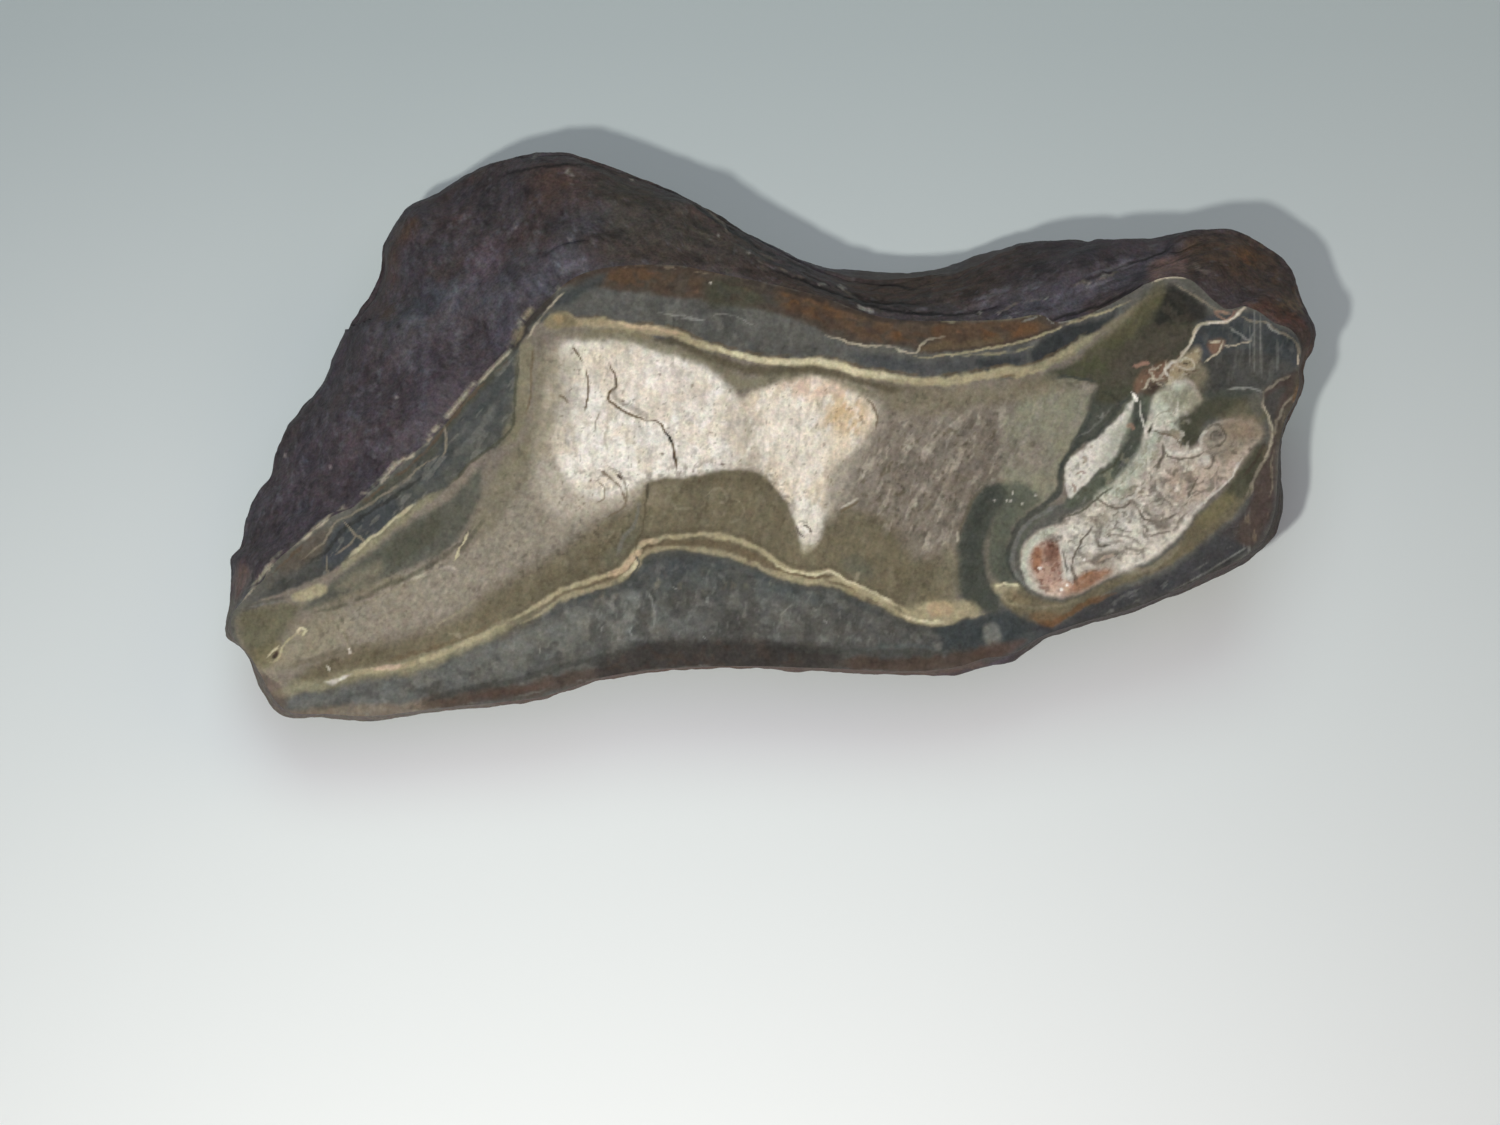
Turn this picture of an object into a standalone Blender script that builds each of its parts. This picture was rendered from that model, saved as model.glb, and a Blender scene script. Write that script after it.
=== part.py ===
"""A piece of banded stone about 130 mm long, sawn flat and polished on one side.

The cut face looks up and leans towards the front. Round it the dark natural rind falls away to
the outline, and the underside is a blunt, faceted belly with a small flat spot that it rests on.
The stone is one closed body, lofted from the edge of the cut over the outline to the belly.
"""

import math
import random

import bpy
import numpy as np
from mathutils import Vector, noise

# Driving sizes, in metres and degrees
STONE_LENGTH = 0.130
CUT_FACE_HEIGHT = 0.0195
CUT_FACE_LEAN = 22.0
EYE_DISTANCE = 0.249
REST_SPOT_DEPTH = 0.0010

# The two outlines are given in picture units, seen square to the cut face from EYE_DISTANCE.
# y runs down the picture. PICTURE_SPAN units make the length of the stone.
PICTURE_SPAN = 1087.0
PICTURE_MIDDLE = (750.0, 562.5)
OUTLINE_MIDDLE = (920.0, 490.0)
BELLY_MIDDLE = (760.0, 455.0)

# Outer edge of the stone, clockwise from the left tip: x, y, and millimetres below the cut face
OUTLINE = (
    (226, 632, 5.0), (230, 603, 6.0), (232, 575, 6.5), (232, 560, 7.0), (241, 546, 8.0),
    (247, 518, 8.5), (256, 496, 9.5), (271, 477, 10.5), (275, 456, 12.0), (285, 430, 13.0),
    (300, 408, 15.0), (318, 389, 15.0), (333, 358, 15.5), (345, 338, 16.0), (357, 313, 17.0),
    (371, 292, 18.0), (380, 273, 18.0), (384, 248, 18.5), (392, 229, 19.5), (404, 215, 20.0),
    (420, 205, 20.0), (445, 190, 19.5), (470, 173, 18.5), (490, 163, 17.5), (520, 156, 16.5),
    (550, 152, 15.0), (580, 156, 14.5), (620, 169, 14.0), (660, 184, 13.0), (705, 210, 12.3),
    (740, 231, 11.3), (780, 251, 10.0), (820, 268, 10.0), (860, 279, 10.0), (885, 280, 10.0),
    (920, 274, 10.5), (960, 269, 11.0), (1000, 253, 11.5), (1030, 244, 12.0), (1060, 242, 12.0),
    (1085, 245, 12.0), (1102, 241, 11.5), (1140, 243, 11.0), (1175, 238, 10.0), (1190, 232, 9.0),
    (1225, 230, 9.0), (1250, 236, 9.5), (1272, 249, 10.0), (1292, 268, 8.5), (1300, 295, 6.5),
    (1313, 328, 5.0), (1309, 350, 4.0), (1301, 369, 3.0), (1303, 381, 3.2), (1297, 402, 3.7),
    (1289, 419, 3.9), (1282, 445, 4.0), (1280, 480, 3.7), (1277, 515, 3.2), (1269, 537, 2.8),
    (1250, 557, 2.5), (1200, 582, 2.5), (1142, 608, 2.5), (1080, 626, 2.5), (1040, 640, 2.5),
    (1008, 659, 2.3), (985, 661, 2.3), (960, 669, 2.3), (920, 674, 2.5), (820, 671, 2.5),
    (740, 669, 2.5), (660, 672, 2.5), (600, 681, 2.5), (545, 699, 2.5), (510, 704, 2.5),
    (440, 711, 2.5), (370, 719, 2.5), (330, 717, 2.5), (287, 715, 2.5), (272, 704, 2.6),
    (265, 692, 2.8), (257, 675, 3.0), (249, 655, 3.2), (240, 645, 3.8), (229, 638, 4.6),
)

# Sharp edge of the cut face, clockwise from the left
CUT_EDGE = (
    (238, 612), (245, 602), (251, 590), (263, 581), (270, 568), (300, 541), (335, 515),
    (352, 508), (372, 490), (387, 478), (405, 461), (440, 430), (465, 401), (490, 371),
    (514, 346), (523, 327), (545, 302), (574, 278), (600, 269), (640, 265), (680, 266),
    (730, 276), (780, 286), (825, 298), (865, 313), (900, 320), (960, 321), (1010, 319),
    (1040, 315), (1056, 322), (1080, 317), (1115, 302), (1145, 284), (1170, 277), (1190, 280),
    (1215, 302), (1228, 310), (1240, 306), (1257, 311), (1274, 323), (1291, 330), (1300, 349),
    (1297, 371), (1293, 393), (1278, 420), (1274, 450), (1272, 495), (1267, 522), (1256, 543),
    (1230, 562), (1150, 597), (1120, 609), (1080, 620), (1040, 634), (1010, 651), (985, 655),
    (960, 663), (920, 668), (820, 665), (740, 663), (660, 666), (600, 675), (545, 692),
    (510, 698), (440, 705), (370, 713), (330, 711), (291, 707), (280, 694), (272, 681),
    (262, 671), (254, 661), (247, 650), (241, 638), (236, 625),
)

# Ledges of the rind in picture units: its points from left to right, the height of the step in
# metres (the upper side of the line stands proud where it is positive), and how far it reaches
LEDGES = (
    (((560, 168), (640, 185), (700, 213), (760, 248), (840, 288), (900, 308)), -0.0006, 34.0),
    (((1000, 300), (1050, 293), (1100, 280), (1135, 263), (1165, 250)), 0.0008, 26.0),
    (((385, 318), (460, 292), (540, 262)), -0.0006, 60.0),
)
LEDGE_SOFTNESS = 14.0

# Low bumps of the rind in picture units: place, radius, and height in metres
BUMPS = (
    ((418, 222), 30.0, 0.0010),
    ((560, 215), 70.0, 0.0012),
    ((350, 420), 60.0, 0.0008),
    ((470, 330), 60.0, -0.0009),
    ((1075, 268), 45.0, 0.0008),
    ((1230, 262), 40.0, 0.0010),
    ((700, 245), 40.0, -0.0006),
)

# Broken flats of the underside: compass direction, steepness below the horizon, and the depth
# that each takes off the loft
FACETS = (
    (190.0, 58.0, 0.0040),
    (225.0, 40.0, 0.0030),
    (262.0, 52.0, 0.0034),
    (300.0, 42.0, 0.0036),
    (352.0, 58.0, 0.0046),
    (35.0, 48.0, 0.0044),
    (75.0, 35.0, 0.0026),
    (112.0, 50.0, 0.0044),
    (150.0, 42.0, 0.0036),
)
FACET_FLATNESS = 0.88

# Lumps of the weathered surface: how far apart they lie and how far they stand, in metres
BELLY_SWELLS = ((0.034, 0.0040),)
LUMPS = ((0.016, 0.00120), (0.0075, 0.00060), (0.0040, 0.00024))
LUMP_SHIFT = Vector((1.0, 3.0, 7.0))
LUMPS_AT_OUTLINE = 0.35
OUTLINE_RINGS_CALMED = 2.0
RIM_FADE = 0.0035
PIT_COUNT = 26
PIT_RADIUS = (0.0026, 0.0046)
PIT_DEPTH = (0.0003, 0.0007)
PIT_SEED = 11

# Fineness of the loft
STATIONS = 164
FLANK_RINGS = 11
BELLY_RINGS = 15
FLANK_STRAIGHTNESS = 0.62
BELLY_BLUNTNESS = 2.05
BELLY_ROUNDING = 9
BELLY_ROUNDED_BY = 0.4
RINGS_KEPT_ROUND = 5.0

MILLIMETRE = 0.001
UNIT = STONE_LENGTH / PICTURE_SPAN
LEAN = math.radians(CUT_FACE_LEAN)
FACE_NORMAL = np.array((0.0, -math.sin(LEAN), math.cos(LEAN)))
FACE_RIGHT = np.array((1.0, 0.0, 0.0))
FACE_UP = np.array((0.0, math.cos(LEAN), math.sin(LEAN)))


def closed_curve(points, steps=16):
    """A smooth closed curve through the points: centripetal Catmull-Rom spans."""
    knots = np.array(points, float)
    share = np.linspace(0.0, 1.0, steps, endpoint=False)[:, None]
    spans = []
    for index in range(len(knots)):
        before, start, end, after = (knots[(index + shift) % len(knots)] for shift in (-1, 0, 1, 2))
        first = math.sqrt(np.linalg.norm((start - before)[:2]))
        middle = math.sqrt(np.linalg.norm((end - start)[:2]))
        last = math.sqrt(np.linalg.norm((after - end)[:2]))
        chord = (end - start) / middle
        leave = middle * ((start - before) / first - (end - before) / (first + middle) + chord)
        arrive = middle * (chord - (after - start) / (middle + last) + (after - end) / last)
        spans.append(
            (2 * share**3 - 3 * share**2 + 1) * start
            + (share**3 - 2 * share**2 + share) * leave
            + (3 * share**2 - 2 * share**3) * end
            + (share**3 - share**2) * arrive
        )
    return np.vstack(spans)


def evenly_spaced(curve, count):
    """The closed curve read at count points that lie equally far apart along it."""
    closed = np.vstack((curve, curve[:1]))
    lengths = np.linalg.norm(np.diff(closed[:, :2], axis=0), axis=1)
    along = np.concatenate(([0.0], np.cumsum(lengths)))
    wanted = np.linspace(0.0, along[-1], count, endpoint=False)
    return np.column_stack([np.interp(wanted, along, column) for column in closed.T])


def angle_and_radius(points):
    """Each point's direction and distance from the middle of the outline."""
    offset = points[:, :2] - OUTLINE_MIDDLE
    return np.arctan2(offset[:, 1], offset[:, 0]), np.hypot(offset[:, 0], offset[:, 1])


def matching_rings():
    """The outline and the edge of the cut, read at the same directions from the middle."""
    outline = evenly_spaced(closed_curve(OUTLINE), STATIONS)
    directions, _ = angle_and_radius(outline)
    edge_directions, edge_radii = angle_and_radius(closed_curve(CUT_EDGE))
    radii = np.interp(directions, *by_direction(edge_directions, edge_radii), period=2 * math.pi)
    rays = np.column_stack((np.cos(directions), np.sin(directions)))
    return outline, OUTLINE_MIDDLE + radii[:, None] * rays


def by_direction(directions, radii):
    """The pairs in order of direction."""
    order = np.argsort(directions)
    return directions[order], radii[order]


def place(picture, depth):
    """World points seen at the picture points and lying at a depth below the cut face."""
    spread = UNIT * (1.0 + depth / EYE_DISTANCE)
    across = (picture[:, 0] - PICTURE_MIDDLE[0]) * spread
    upward = (PICTURE_MIDDLE[1] - picture[:, 1]) * spread
    face_middle = np.array((0.0, 0.0, CUT_FACE_HEIGHT))
    return (
        face_middle
        + np.outer(across, FACE_RIGHT)
        + np.outer(upward, FACE_UP)
        - np.outer(depth, FACE_NORMAL)
    )


def depth_at_height(picture, height):
    """How deep below the cut face a picture point lies once it has sunk to a world height."""
    rise = (PICTURE_MIDDLE[1] - picture[:, 1]) * UNIT * math.sin(LEAN)
    return (CUT_FACE_HEIGHT + rise - height) / (math.cos(LEAN) - rise / EYE_DISTANCE)


def flank_ring(outline, edge, turn):
    """One ring of the rind: it leaves the cut at a slope and rolls over to the outline."""
    share = math.sin(turn * math.pi / 2)
    drop = FLANK_STRAIGHTNESS * share + (1 - FLANK_STRAIGHTNESS) * (1 - math.cos(turn * math.pi / 2))
    picture = edge + share * (outline[:, :2] - edge)
    return picture, place(picture, outline[:, 2] * MILLIMETRE * drop)


def rounded(outline):
    """The outline without its small notches, as it lies further down the belly."""
    soft = outline
    for _ in range(2):
        soft = sum(np.roll(soft, shift, axis=0) for shift in range(-BELLY_ROUNDING, BELLY_ROUNDING + 1))
        soft = soft / (2 * BELLY_ROUNDING + 1)
    return soft


def belly_ring(outline, soft, turn):
    """One ring of the underside: the outline drawn in to the lowest point of the belly."""
    share = 1 - math.cos(turn * math.pi / 2) ** (2 / BELLY_BLUNTNESS)
    sink = math.sin(turn * math.pi / 2) ** (2 / BELLY_BLUNTNESS)
    rim = outline + smooth_step(turn / BELLY_ROUNDED_BY) * (soft - outline)
    top = place(rim[:, :2], rim[:, 2] * MILLIMETRE)[:, 2]
    picture = rim[:, :2] + share * (np.array(BELLY_MIDDLE) - rim[:, :2])
    return picture, place(picture, depth_at_height(picture, top * (1 - sink)))


def loft():
    """Picture points, world points and ring numbers of the whole surface, ring after ring."""
    outline, edge = matching_rings()
    soft = rounded(outline)
    rings = [flank_ring(outline, edge, ring / FLANK_RINGS) for ring in range(FLANK_RINGS + 1)]
    rings += [belly_ring(outline, soft, ring / BELLY_RINGS) for ring in range(1, BELLY_RINGS)]
    lowest = np.array([BELLY_MIDDLE])
    rings.append((lowest, place(lowest, depth_at_height(lowest, 0.0))))
    picture = np.vstack([ring[0] for ring in rings])
    world = np.vstack([ring[1] for ring in rings])
    ring_numbers = np.repeat(np.arange(len(rings)), [len(ring[0]) for ring in rings])
    return picture, world, ring_numbers


def loft_faces():
    """The cut face, bands of four-sided faces between the rings, and a fan at the bottom."""
    ring_count = FLANK_RINGS + BELLY_RINGS
    faces = [list(range(STATIONS))[::-1]]
    for ring in range(ring_count - 1):
        for station in range(STATIONS):
            following = (station + 1) % STATIONS
            upper = ring * STATIONS
            lower = upper + STATIONS
            faces.append((upper + station, upper + following, lower + following, lower + station))
    last = (ring_count - 1) * STATIONS
    for station in range(STATIONS):
        faces.append((last + station, last + (station + 1) % STATIONS, ring_count * STATIONS))
    return faces


def smooth_step(value):
    """0 below zero, 1 above one, and a soft rise between."""
    share = np.clip(value, 0.0, 1.0)
    return share * share * (3 - 2 * share)


def signed_distance(points, line):
    """Distance of each picture point to the line, positive above it in the picture."""
    nearest = np.full(len(points), np.inf)
    signed = np.zeros(len(points))
    for start, end in zip(np.array(line[:-1], float), np.array(line[1:], float)):
        span = end - start
        offset = points - start
        share = np.clip(offset @ span / (span @ span), 0.0, 1.0)
        distance = np.linalg.norm(offset - np.outer(share, span), axis=1)
        side = np.sign(offset[:, 0] * span[1] - offset[:, 1] * span[0])
        closer = distance < nearest
        nearest[closer] = distance[closer]
        signed[closer] = (distance * side)[closer]
    return signed


def lump_height(world, lumps):
    """Height of the weathered lumps at each point."""
    heights = np.zeros(len(world))
    for spacing, height in lumps:
        heights += [height * noise.noise(Vector(point) / spacing + LUMP_SHIFT) for point in world]
    return heights


def flank_relief(picture):
    """Height of the ledges and bumps of the visible rind."""
    heights = np.zeros(len(picture))
    for line, step, reach in LEDGES:
        distance = signed_distance(picture, line)
        heights += step * np.tanh(distance / LEDGE_SOFTNESS) * np.exp(-((distance / reach) ** 2))
    for middle, radius, height in BUMPS:
        distance = np.linalg.norm(picture - middle, axis=1)
        heights += height * (1 - smooth_step(distance / radius))
    return heights


def pit_depth(world, rind):
    """Depth of the shallow pits, spread over the rind and the underside."""
    dice = random.Random(PIT_SEED)
    depths = np.zeros(len(world))
    for middle in dice.sample(list(np.flatnonzero(rind)), PIT_COUNT):
        radius = dice.uniform(*PIT_RADIUS)
        distance = np.linalg.norm(world - world[middle], axis=1)
        depths += dice.uniform(*PIT_DEPTH) * (1 - smooth_step(distance / radius))
    return depths


def weathered(picture, world, ring_numbers, normals):
    """The lofted points moved in and out by lumps, ledges and pits. The cut's edge stays."""
    rim = world[ring_numbers == 0]
    from_rim = np.array([np.linalg.norm(rim - point, axis=1).min() for point in world])
    free = smooth_step(from_rim / RIM_FADE)
    outline_share = np.exp(-(((ring_numbers - FLANK_RINGS) / OUTLINE_RINGS_CALMED) ** 2))
    lumps_share = free * (1 - (1 - LUMPS_AT_OUTLINE) * outline_share)
    on_flank = ring_numbers < FLANK_RINGS
    below = smooth_step((ring_numbers - FLANK_RINGS) / RINGS_KEPT_ROUND)
    below *= 1 - smooth_step((ring_numbers - FLANK_RINGS) / BELLY_RINGS)
    height = lumps_share * lump_height(world, LUMPS) + below * lump_height(world, BELLY_SWELLS)
    height += np.where(on_flank, free * flank_relief(picture), 0.0)
    height -= lumps_share * pit_depth(world, ring_numbers > 1)
    return world + height[:, None] * normals


def broken_flats(world, ring_numbers):
    """The underside pressed flat against its facets, and cut level at the rest spot."""
    shaped = world.copy()
    below = smooth_step((ring_numbers - FLANK_RINGS) / RINGS_KEPT_ROUND)
    for compass, steepness, depth in FACETS:
        level = math.cos(math.radians(steepness))
        direction = np.array((
            level * math.cos(math.radians(compass)),
            level * math.sin(math.radians(compass)),
            -math.sin(math.radians(steepness)),
        ))
        reach = shaped @ direction
        over = np.clip(reach - (reach.max() - depth), 0.0, None)
        shaped -= np.outer(below * over * FACET_FLATNESS, direction)
    floor = shaped[:, 2].min() + REST_SPOT_DEPTH
    shaped[:, 2] = np.maximum(shaped[:, 2], floor) - floor
    return shaped


def centred(world):
    """The stone moved sideways, so that the middle of its box stands over the origin."""
    middle = (world.min(axis=0) + world.max(axis=0)) / 2
    return world - (middle[0], middle[1], 0.0)


def stone_material():
    """Grey-brown banded stone with a dark rind."""
    material = bpy.data.materials.new("banded_stone")
    material.use_nodes = True
    shader = material.node_tree.nodes["Principled BSDF"]
    shader.inputs["Base Color"].default_value = (0.130, 0.115, 0.090, 1.0)
    shader.inputs["Roughness"].default_value = 0.55
    shader.inputs["Metallic"].default_value = 0.0
    return material


def make_stone(collection):
    """The whole stone as one closed object."""
    picture, world, ring_numbers = loft()
    mesh = bpy.data.meshes.new("stone")
    mesh.from_pydata(world.tolist(), [], loft_faces())
    mesh.update()
    normals = np.array([vertex.normal for vertex in mesh.vertices])
    world = weathered(picture, world, ring_numbers, normals)
    world = centred(broken_flats(world, ring_numbers))
    mesh.vertices.foreach_set("co", world.astype(np.float32).ravel())
    mesh.update()
    mesh.materials.append(stone_material())
    mesh.shade_smooth()
    mesh.polygons[0].use_smooth = False
    stone = bpy.data.objects.new("stone", mesh)
    collection.objects.link(stone)
    return stone


def main():
    for old in list(bpy.data.objects):
        bpy.data.objects.remove(old, do_unlink=True)
    collection = bpy.data.collections.new("sawn_banded_stone")
    bpy.context.scene.collection.children.link(collection)
    make_stone(collection)


main()
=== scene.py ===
"""The look of a piece of banded stone, sawn flat on one side and dark and weathered all round.

Three pieces stand for the stone: its natural rind with the hidden underside, and the sawn face in
two parts that meet along a straight line. All are made finer than the solid model, from the same
outlines and the same rules. Their colours are painted on the points of the mesh, layer over layer,
in picture units, and the shader adds the fine grain.
"""

import math
import random

import bpy
import numpy as np
from mathutils import Matrix, Vector, geometry, noise


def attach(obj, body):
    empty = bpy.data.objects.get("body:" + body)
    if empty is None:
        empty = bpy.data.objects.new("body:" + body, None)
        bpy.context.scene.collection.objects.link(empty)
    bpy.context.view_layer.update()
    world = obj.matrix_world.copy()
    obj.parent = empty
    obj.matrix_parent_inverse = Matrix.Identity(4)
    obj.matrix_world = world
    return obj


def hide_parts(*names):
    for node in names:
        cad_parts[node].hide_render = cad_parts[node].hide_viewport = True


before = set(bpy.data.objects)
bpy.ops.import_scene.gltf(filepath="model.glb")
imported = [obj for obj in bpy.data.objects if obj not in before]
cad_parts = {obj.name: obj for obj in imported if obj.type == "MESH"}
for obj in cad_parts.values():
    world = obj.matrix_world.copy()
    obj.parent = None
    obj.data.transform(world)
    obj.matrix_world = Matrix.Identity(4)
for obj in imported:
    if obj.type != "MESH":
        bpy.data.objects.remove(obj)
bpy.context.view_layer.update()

# Sizes of the stone in metres and degrees, as in the solid model
STONE_LENGTH = 0.130
CUT_FACE_LEAN = 22.0
EYE_DISTANCE = 0.249
CUT_FACE_MIDDLE = np.array((-0.002323, -0.019416, 0.018963))

# Picture units: y runs down the picture, and PICTURE_SPAN units make the length of the stone
PICTURE_SPAN = 1087.0
PICTURE_MIDDLE = (750.0, 562.5)
OUTLINE_MIDDLE = (920.0, 490.0)
BELLY_MIDDLE = (760.0, 455.0)

# Outer edge of the stone, clockwise from the left tip: x, y, and millimetres below the cut face
OUTLINE = (
    (226, 632, 5.0), (230, 603, 6.0), (232, 575, 6.5), (232, 560, 7.0), (241, 546, 8.0),
    (247, 518, 8.5), (256, 496, 9.5), (271, 477, 10.5), (275, 456, 12.0), (285, 430, 13.0),
    (300, 408, 15.0), (318, 389, 15.0), (333, 358, 15.5), (345, 338, 16.0), (357, 313, 17.0),
    (371, 292, 18.0), (380, 273, 18.0), (384, 248, 18.5), (392, 229, 19.5), (404, 215, 20.0),
    (420, 205, 20.0), (445, 190, 19.5), (470, 173, 18.5), (490, 163, 17.5), (520, 156, 16.5),
    (550, 152, 15.0), (580, 156, 14.5), (620, 169, 14.0), (660, 184, 13.0), (705, 210, 12.3),
    (740, 231, 11.3), (780, 251, 10.0), (820, 268, 10.0), (860, 279, 10.0), (885, 280, 10.0),
    (920, 274, 10.5), (960, 269, 11.0), (1000, 253, 11.5), (1030, 244, 12.0), (1060, 242, 12.0),
    (1085, 245, 12.0), (1102, 241, 11.5), (1140, 243, 11.0), (1175, 238, 10.0), (1190, 232, 9.0),
    (1225, 230, 9.0), (1250, 236, 9.5), (1272, 249, 10.0), (1292, 268, 8.5), (1300, 295, 6.5),
    (1313, 328, 5.0), (1309, 350, 4.0), (1301, 369, 3.0), (1303, 381, 3.2), (1297, 402, 3.7),
    (1289, 419, 3.9), (1282, 445, 4.0), (1280, 480, 3.7), (1277, 515, 3.2), (1269, 537, 2.8),
    (1250, 557, 2.5), (1200, 582, 2.5), (1142, 608, 2.5), (1080, 626, 2.5), (1040, 640, 2.5),
    (1008, 659, 2.3), (985, 661, 2.3), (960, 669, 2.3), (920, 674, 2.5), (820, 671, 2.5),
    (740, 669, 2.5), (660, 672, 2.5), (600, 681, 2.5), (545, 699, 2.5), (510, 704, 2.5),
    (440, 711, 2.5), (370, 719, 2.5), (330, 717, 2.5), (287, 715, 2.5), (272, 704, 2.6),
    (265, 692, 2.8), (257, 675, 3.0), (249, 655, 3.2), (240, 645, 3.8), (229, 638, 4.6),
)

# Sharp edge of the cut face, clockwise from the left. Along the foot and the right side it runs
# closer to the outline than in the solid model
CUT_EDGE = (
    (234, 612), (242, 602), (251, 590), (263, 581), (270, 568), (300, 541), (335, 515),
    (352, 508), (372, 490), (387, 478), (405, 461), (440, 430), (465, 401), (490, 371),
    (514, 346), (523, 327), (545, 302), (574, 278), (600, 269), (640, 265), (680, 266),
    (730, 276), (780, 286), (825, 298), (865, 313), (900, 320), (960, 321), (1010, 319),
    (1040, 315), (1056, 322), (1080, 317), (1115, 302), (1145, 284), (1170, 277), (1190, 280),
    (1215, 302), (1228, 310), (1240, 306), (1257, 311), (1274, 323), (1291, 330), (1301, 349),
    (1298, 370), (1299, 382), (1294, 402), (1285, 420), (1279, 446), (1277, 480), (1274, 514),
    (1266, 535), (1248, 554), (1198, 579), (1141, 605), (1080, 623), (1040, 637), (1009, 655),
    (985, 658), (960, 666), (920, 671), (820, 668), (740, 666), (660, 669), (600, 678),
    (545, 696), (510, 701), (440, 708), (370, 716), (330, 714), (290, 712), (276, 701),
    (268, 688), (260, 673), (252, 659), (243, 648), (234, 638), (231, 626),
)

# Ledges of the rind: points, height of the step, and how far it reaches. Low bumps: place,
# radius, and height
LEDGES = (
    (((560, 168), (640, 185), (700, 213), (760, 248), (840, 288), (900, 308)), -0.0006, 34.0),
    (((1000, 300), (1050, 293), (1100, 280), (1135, 263), (1165, 250)), 0.0008, 26.0),
    (((385, 318), (460, 292), (540, 262)), -0.0006, 60.0),
)
LEDGE_SOFTNESS = 14.0
BUMPS = (
    ((418, 222), 30.0, 0.0010),
    ((560, 215), 70.0, 0.0012),
    ((350, 420), 60.0, 0.0008),
    ((470, 330), 60.0, -0.0009),
    ((1075, 268), 45.0, 0.0008),
    ((1230, 262), 40.0, 0.0010),
    ((700, 245), 40.0, -0.0006),
)

# Broken flats of the underside: compass direction, steepness below the horizon, depth taken off
FACETS = (
    (190.0, 58.0, 0.0040),
    (225.0, 40.0, 0.0030),
    (262.0, 52.0, 0.0034),
    (300.0, 42.0, 0.0036),
    (352.0, 58.0, 0.0046),
    (35.0, 48.0, 0.0044),
    (75.0, 35.0, 0.0026),
    (112.0, 50.0, 0.0044),
    (150.0, 42.0, 0.0036),
)
FACET_FLATNESS = 0.88

# Lumps and pits of the solid model, and below them the finer ones that only the look has
BELLY_SWELLS = ((0.034, 0.0040),)
LUMPS = ((0.016, 0.00120), (0.0075, 0.00060), (0.0040, 0.00024))
LUMP_SHIFT = Vector((1.0, 3.0, 7.0))
LUMPS_AT_OUTLINE = 0.35
OUTLINE_RINGS_CALMED = 2.0
RIM_FADE = 0.0035
PIT_COUNT = 26
PIT_RADIUS = (0.0026, 0.0046)
PIT_DEPTH = (0.0003, 0.0007)
PIT_SEED = 11
FINE_LUMPS = ((0.0022, 0.00016), (0.0011, 0.00009), (0.00055, 0.00005))
FINE_FADE = 0.0008

# Strata of the rind: length in stations, thickness in ring levels, slice of the noise, and height
STRATA_LENGTH = 25.0
STRATA_THICKNESS = 1.222222
STRATA_SLICE = 4.0
STRATA_HEIGHT = 0.00022

# Rings and stations of the solid model, and how many times finer the rind is made here
STATIONS = 164
FLANK_RINGS = 11
BELLY_RINGS = 15
STATION_SPLIT = 5
FLANK_SPLIT = 5
BELLY_SPLIT = 3
FLANK_STRAIGHTNESS = 0.62
BELLY_BLUNTNESS = 2.05
BELLY_ROUNDING = 9
BELLY_ROUNDED_BY = 0.4
RINGS_KEPT_ROUND = 5.0

# Steps of the smooth curve between two given points of an edge, and of a painted shape
EDGE_STEPS = 16
LINE_STEPS = 4
AREA_STEPS = 3

# Stations to each side that the distance from the cut's edge is measured to, and their spacing
RIM_REACH = 40
RIM_STRIDE = 4

# Spacing of the cut's points in picture units, and where the cut is divided into pieces
FACE_STEP = 1.5
FACE_SPLITS = (0.0, 740.0, 1500.0)

MILLIMETRE = 0.001
UNIT = STONE_LENGTH / PICTURE_SPAN
LEAN = math.radians(CUT_FACE_LEAN)
FACE_NORMAL = np.array((0.0, -math.sin(LEAN), math.cos(LEAN)))
FACE_RIGHT = np.array((1.0, 0.0, 0.0))
FACE_UP = np.array((0.0, math.cos(LEAN), math.sin(LEAN)))
FINE_STATIONS = STATIONS * STATION_SPLIT
FINE_FLANK = FLANK_RINGS * FLANK_SPLIT
FINE_BELLY = BELLY_RINGS * BELLY_SPLIT


def smooth_step(value):
    """0 below zero, 1 above one, and a soft rise between."""
    share = np.clip(value, 0.0, 1.0)
    return share * share * (3 - 2 * share)


def curve_through(points, closed, steps):
    """A smooth curve through the points: centripetal Catmull-Rom spans."""
    knots = np.array(points, float)
    if not closed:
        knots = np.vstack((2 * knots[0] - knots[1], knots, 2 * knots[-1] - knots[-2]))
    share = np.linspace(0.0, 1.0, steps, endpoint=False)[:, None]
    span_starts = range(len(knots)) if closed else range(1, len(knots) - 2)
    spans = []
    for index in span_starts:
        before, start, end, after = (knots[(index + shift) % len(knots)] for shift in (-1, 0, 1, 2))
        first = math.sqrt(np.linalg.norm((start - before)[:2]))
        middle = math.sqrt(np.linalg.norm((end - start)[:2]))
        last = math.sqrt(np.linalg.norm((after - end)[:2]))
        chord = (end - start) / middle
        leave = middle * ((start - before) / first - (end - before) / (first + middle) + chord)
        arrive = middle * (chord - (after - start) / (middle + last) + (after - end) / last)
        spans.append(
            (2 * share**3 - 3 * share**2 + 1) * start
            + (share**3 - 2 * share**2 + share) * leave
            + (3 * share**2 - 2 * share**3) * end
            + (share**3 - share**2) * arrive
        )
    if not closed:
        spans.append(knots[-2:-1])
    return np.vstack(spans)


def evenly_spaced(curve, count):
    """The closed curve read at count points that lie equally far apart along it."""
    closed = np.vstack((curve, curve[:1]))
    lengths = np.linalg.norm(np.diff(closed[:, :2], axis=0), axis=1)
    along = np.concatenate(([0.0], np.cumsum(lengths)))
    wanted = np.linspace(0.0, along[-1], count, endpoint=False)
    return np.column_stack([np.interp(wanted, along, column) for column in closed.T])


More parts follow.
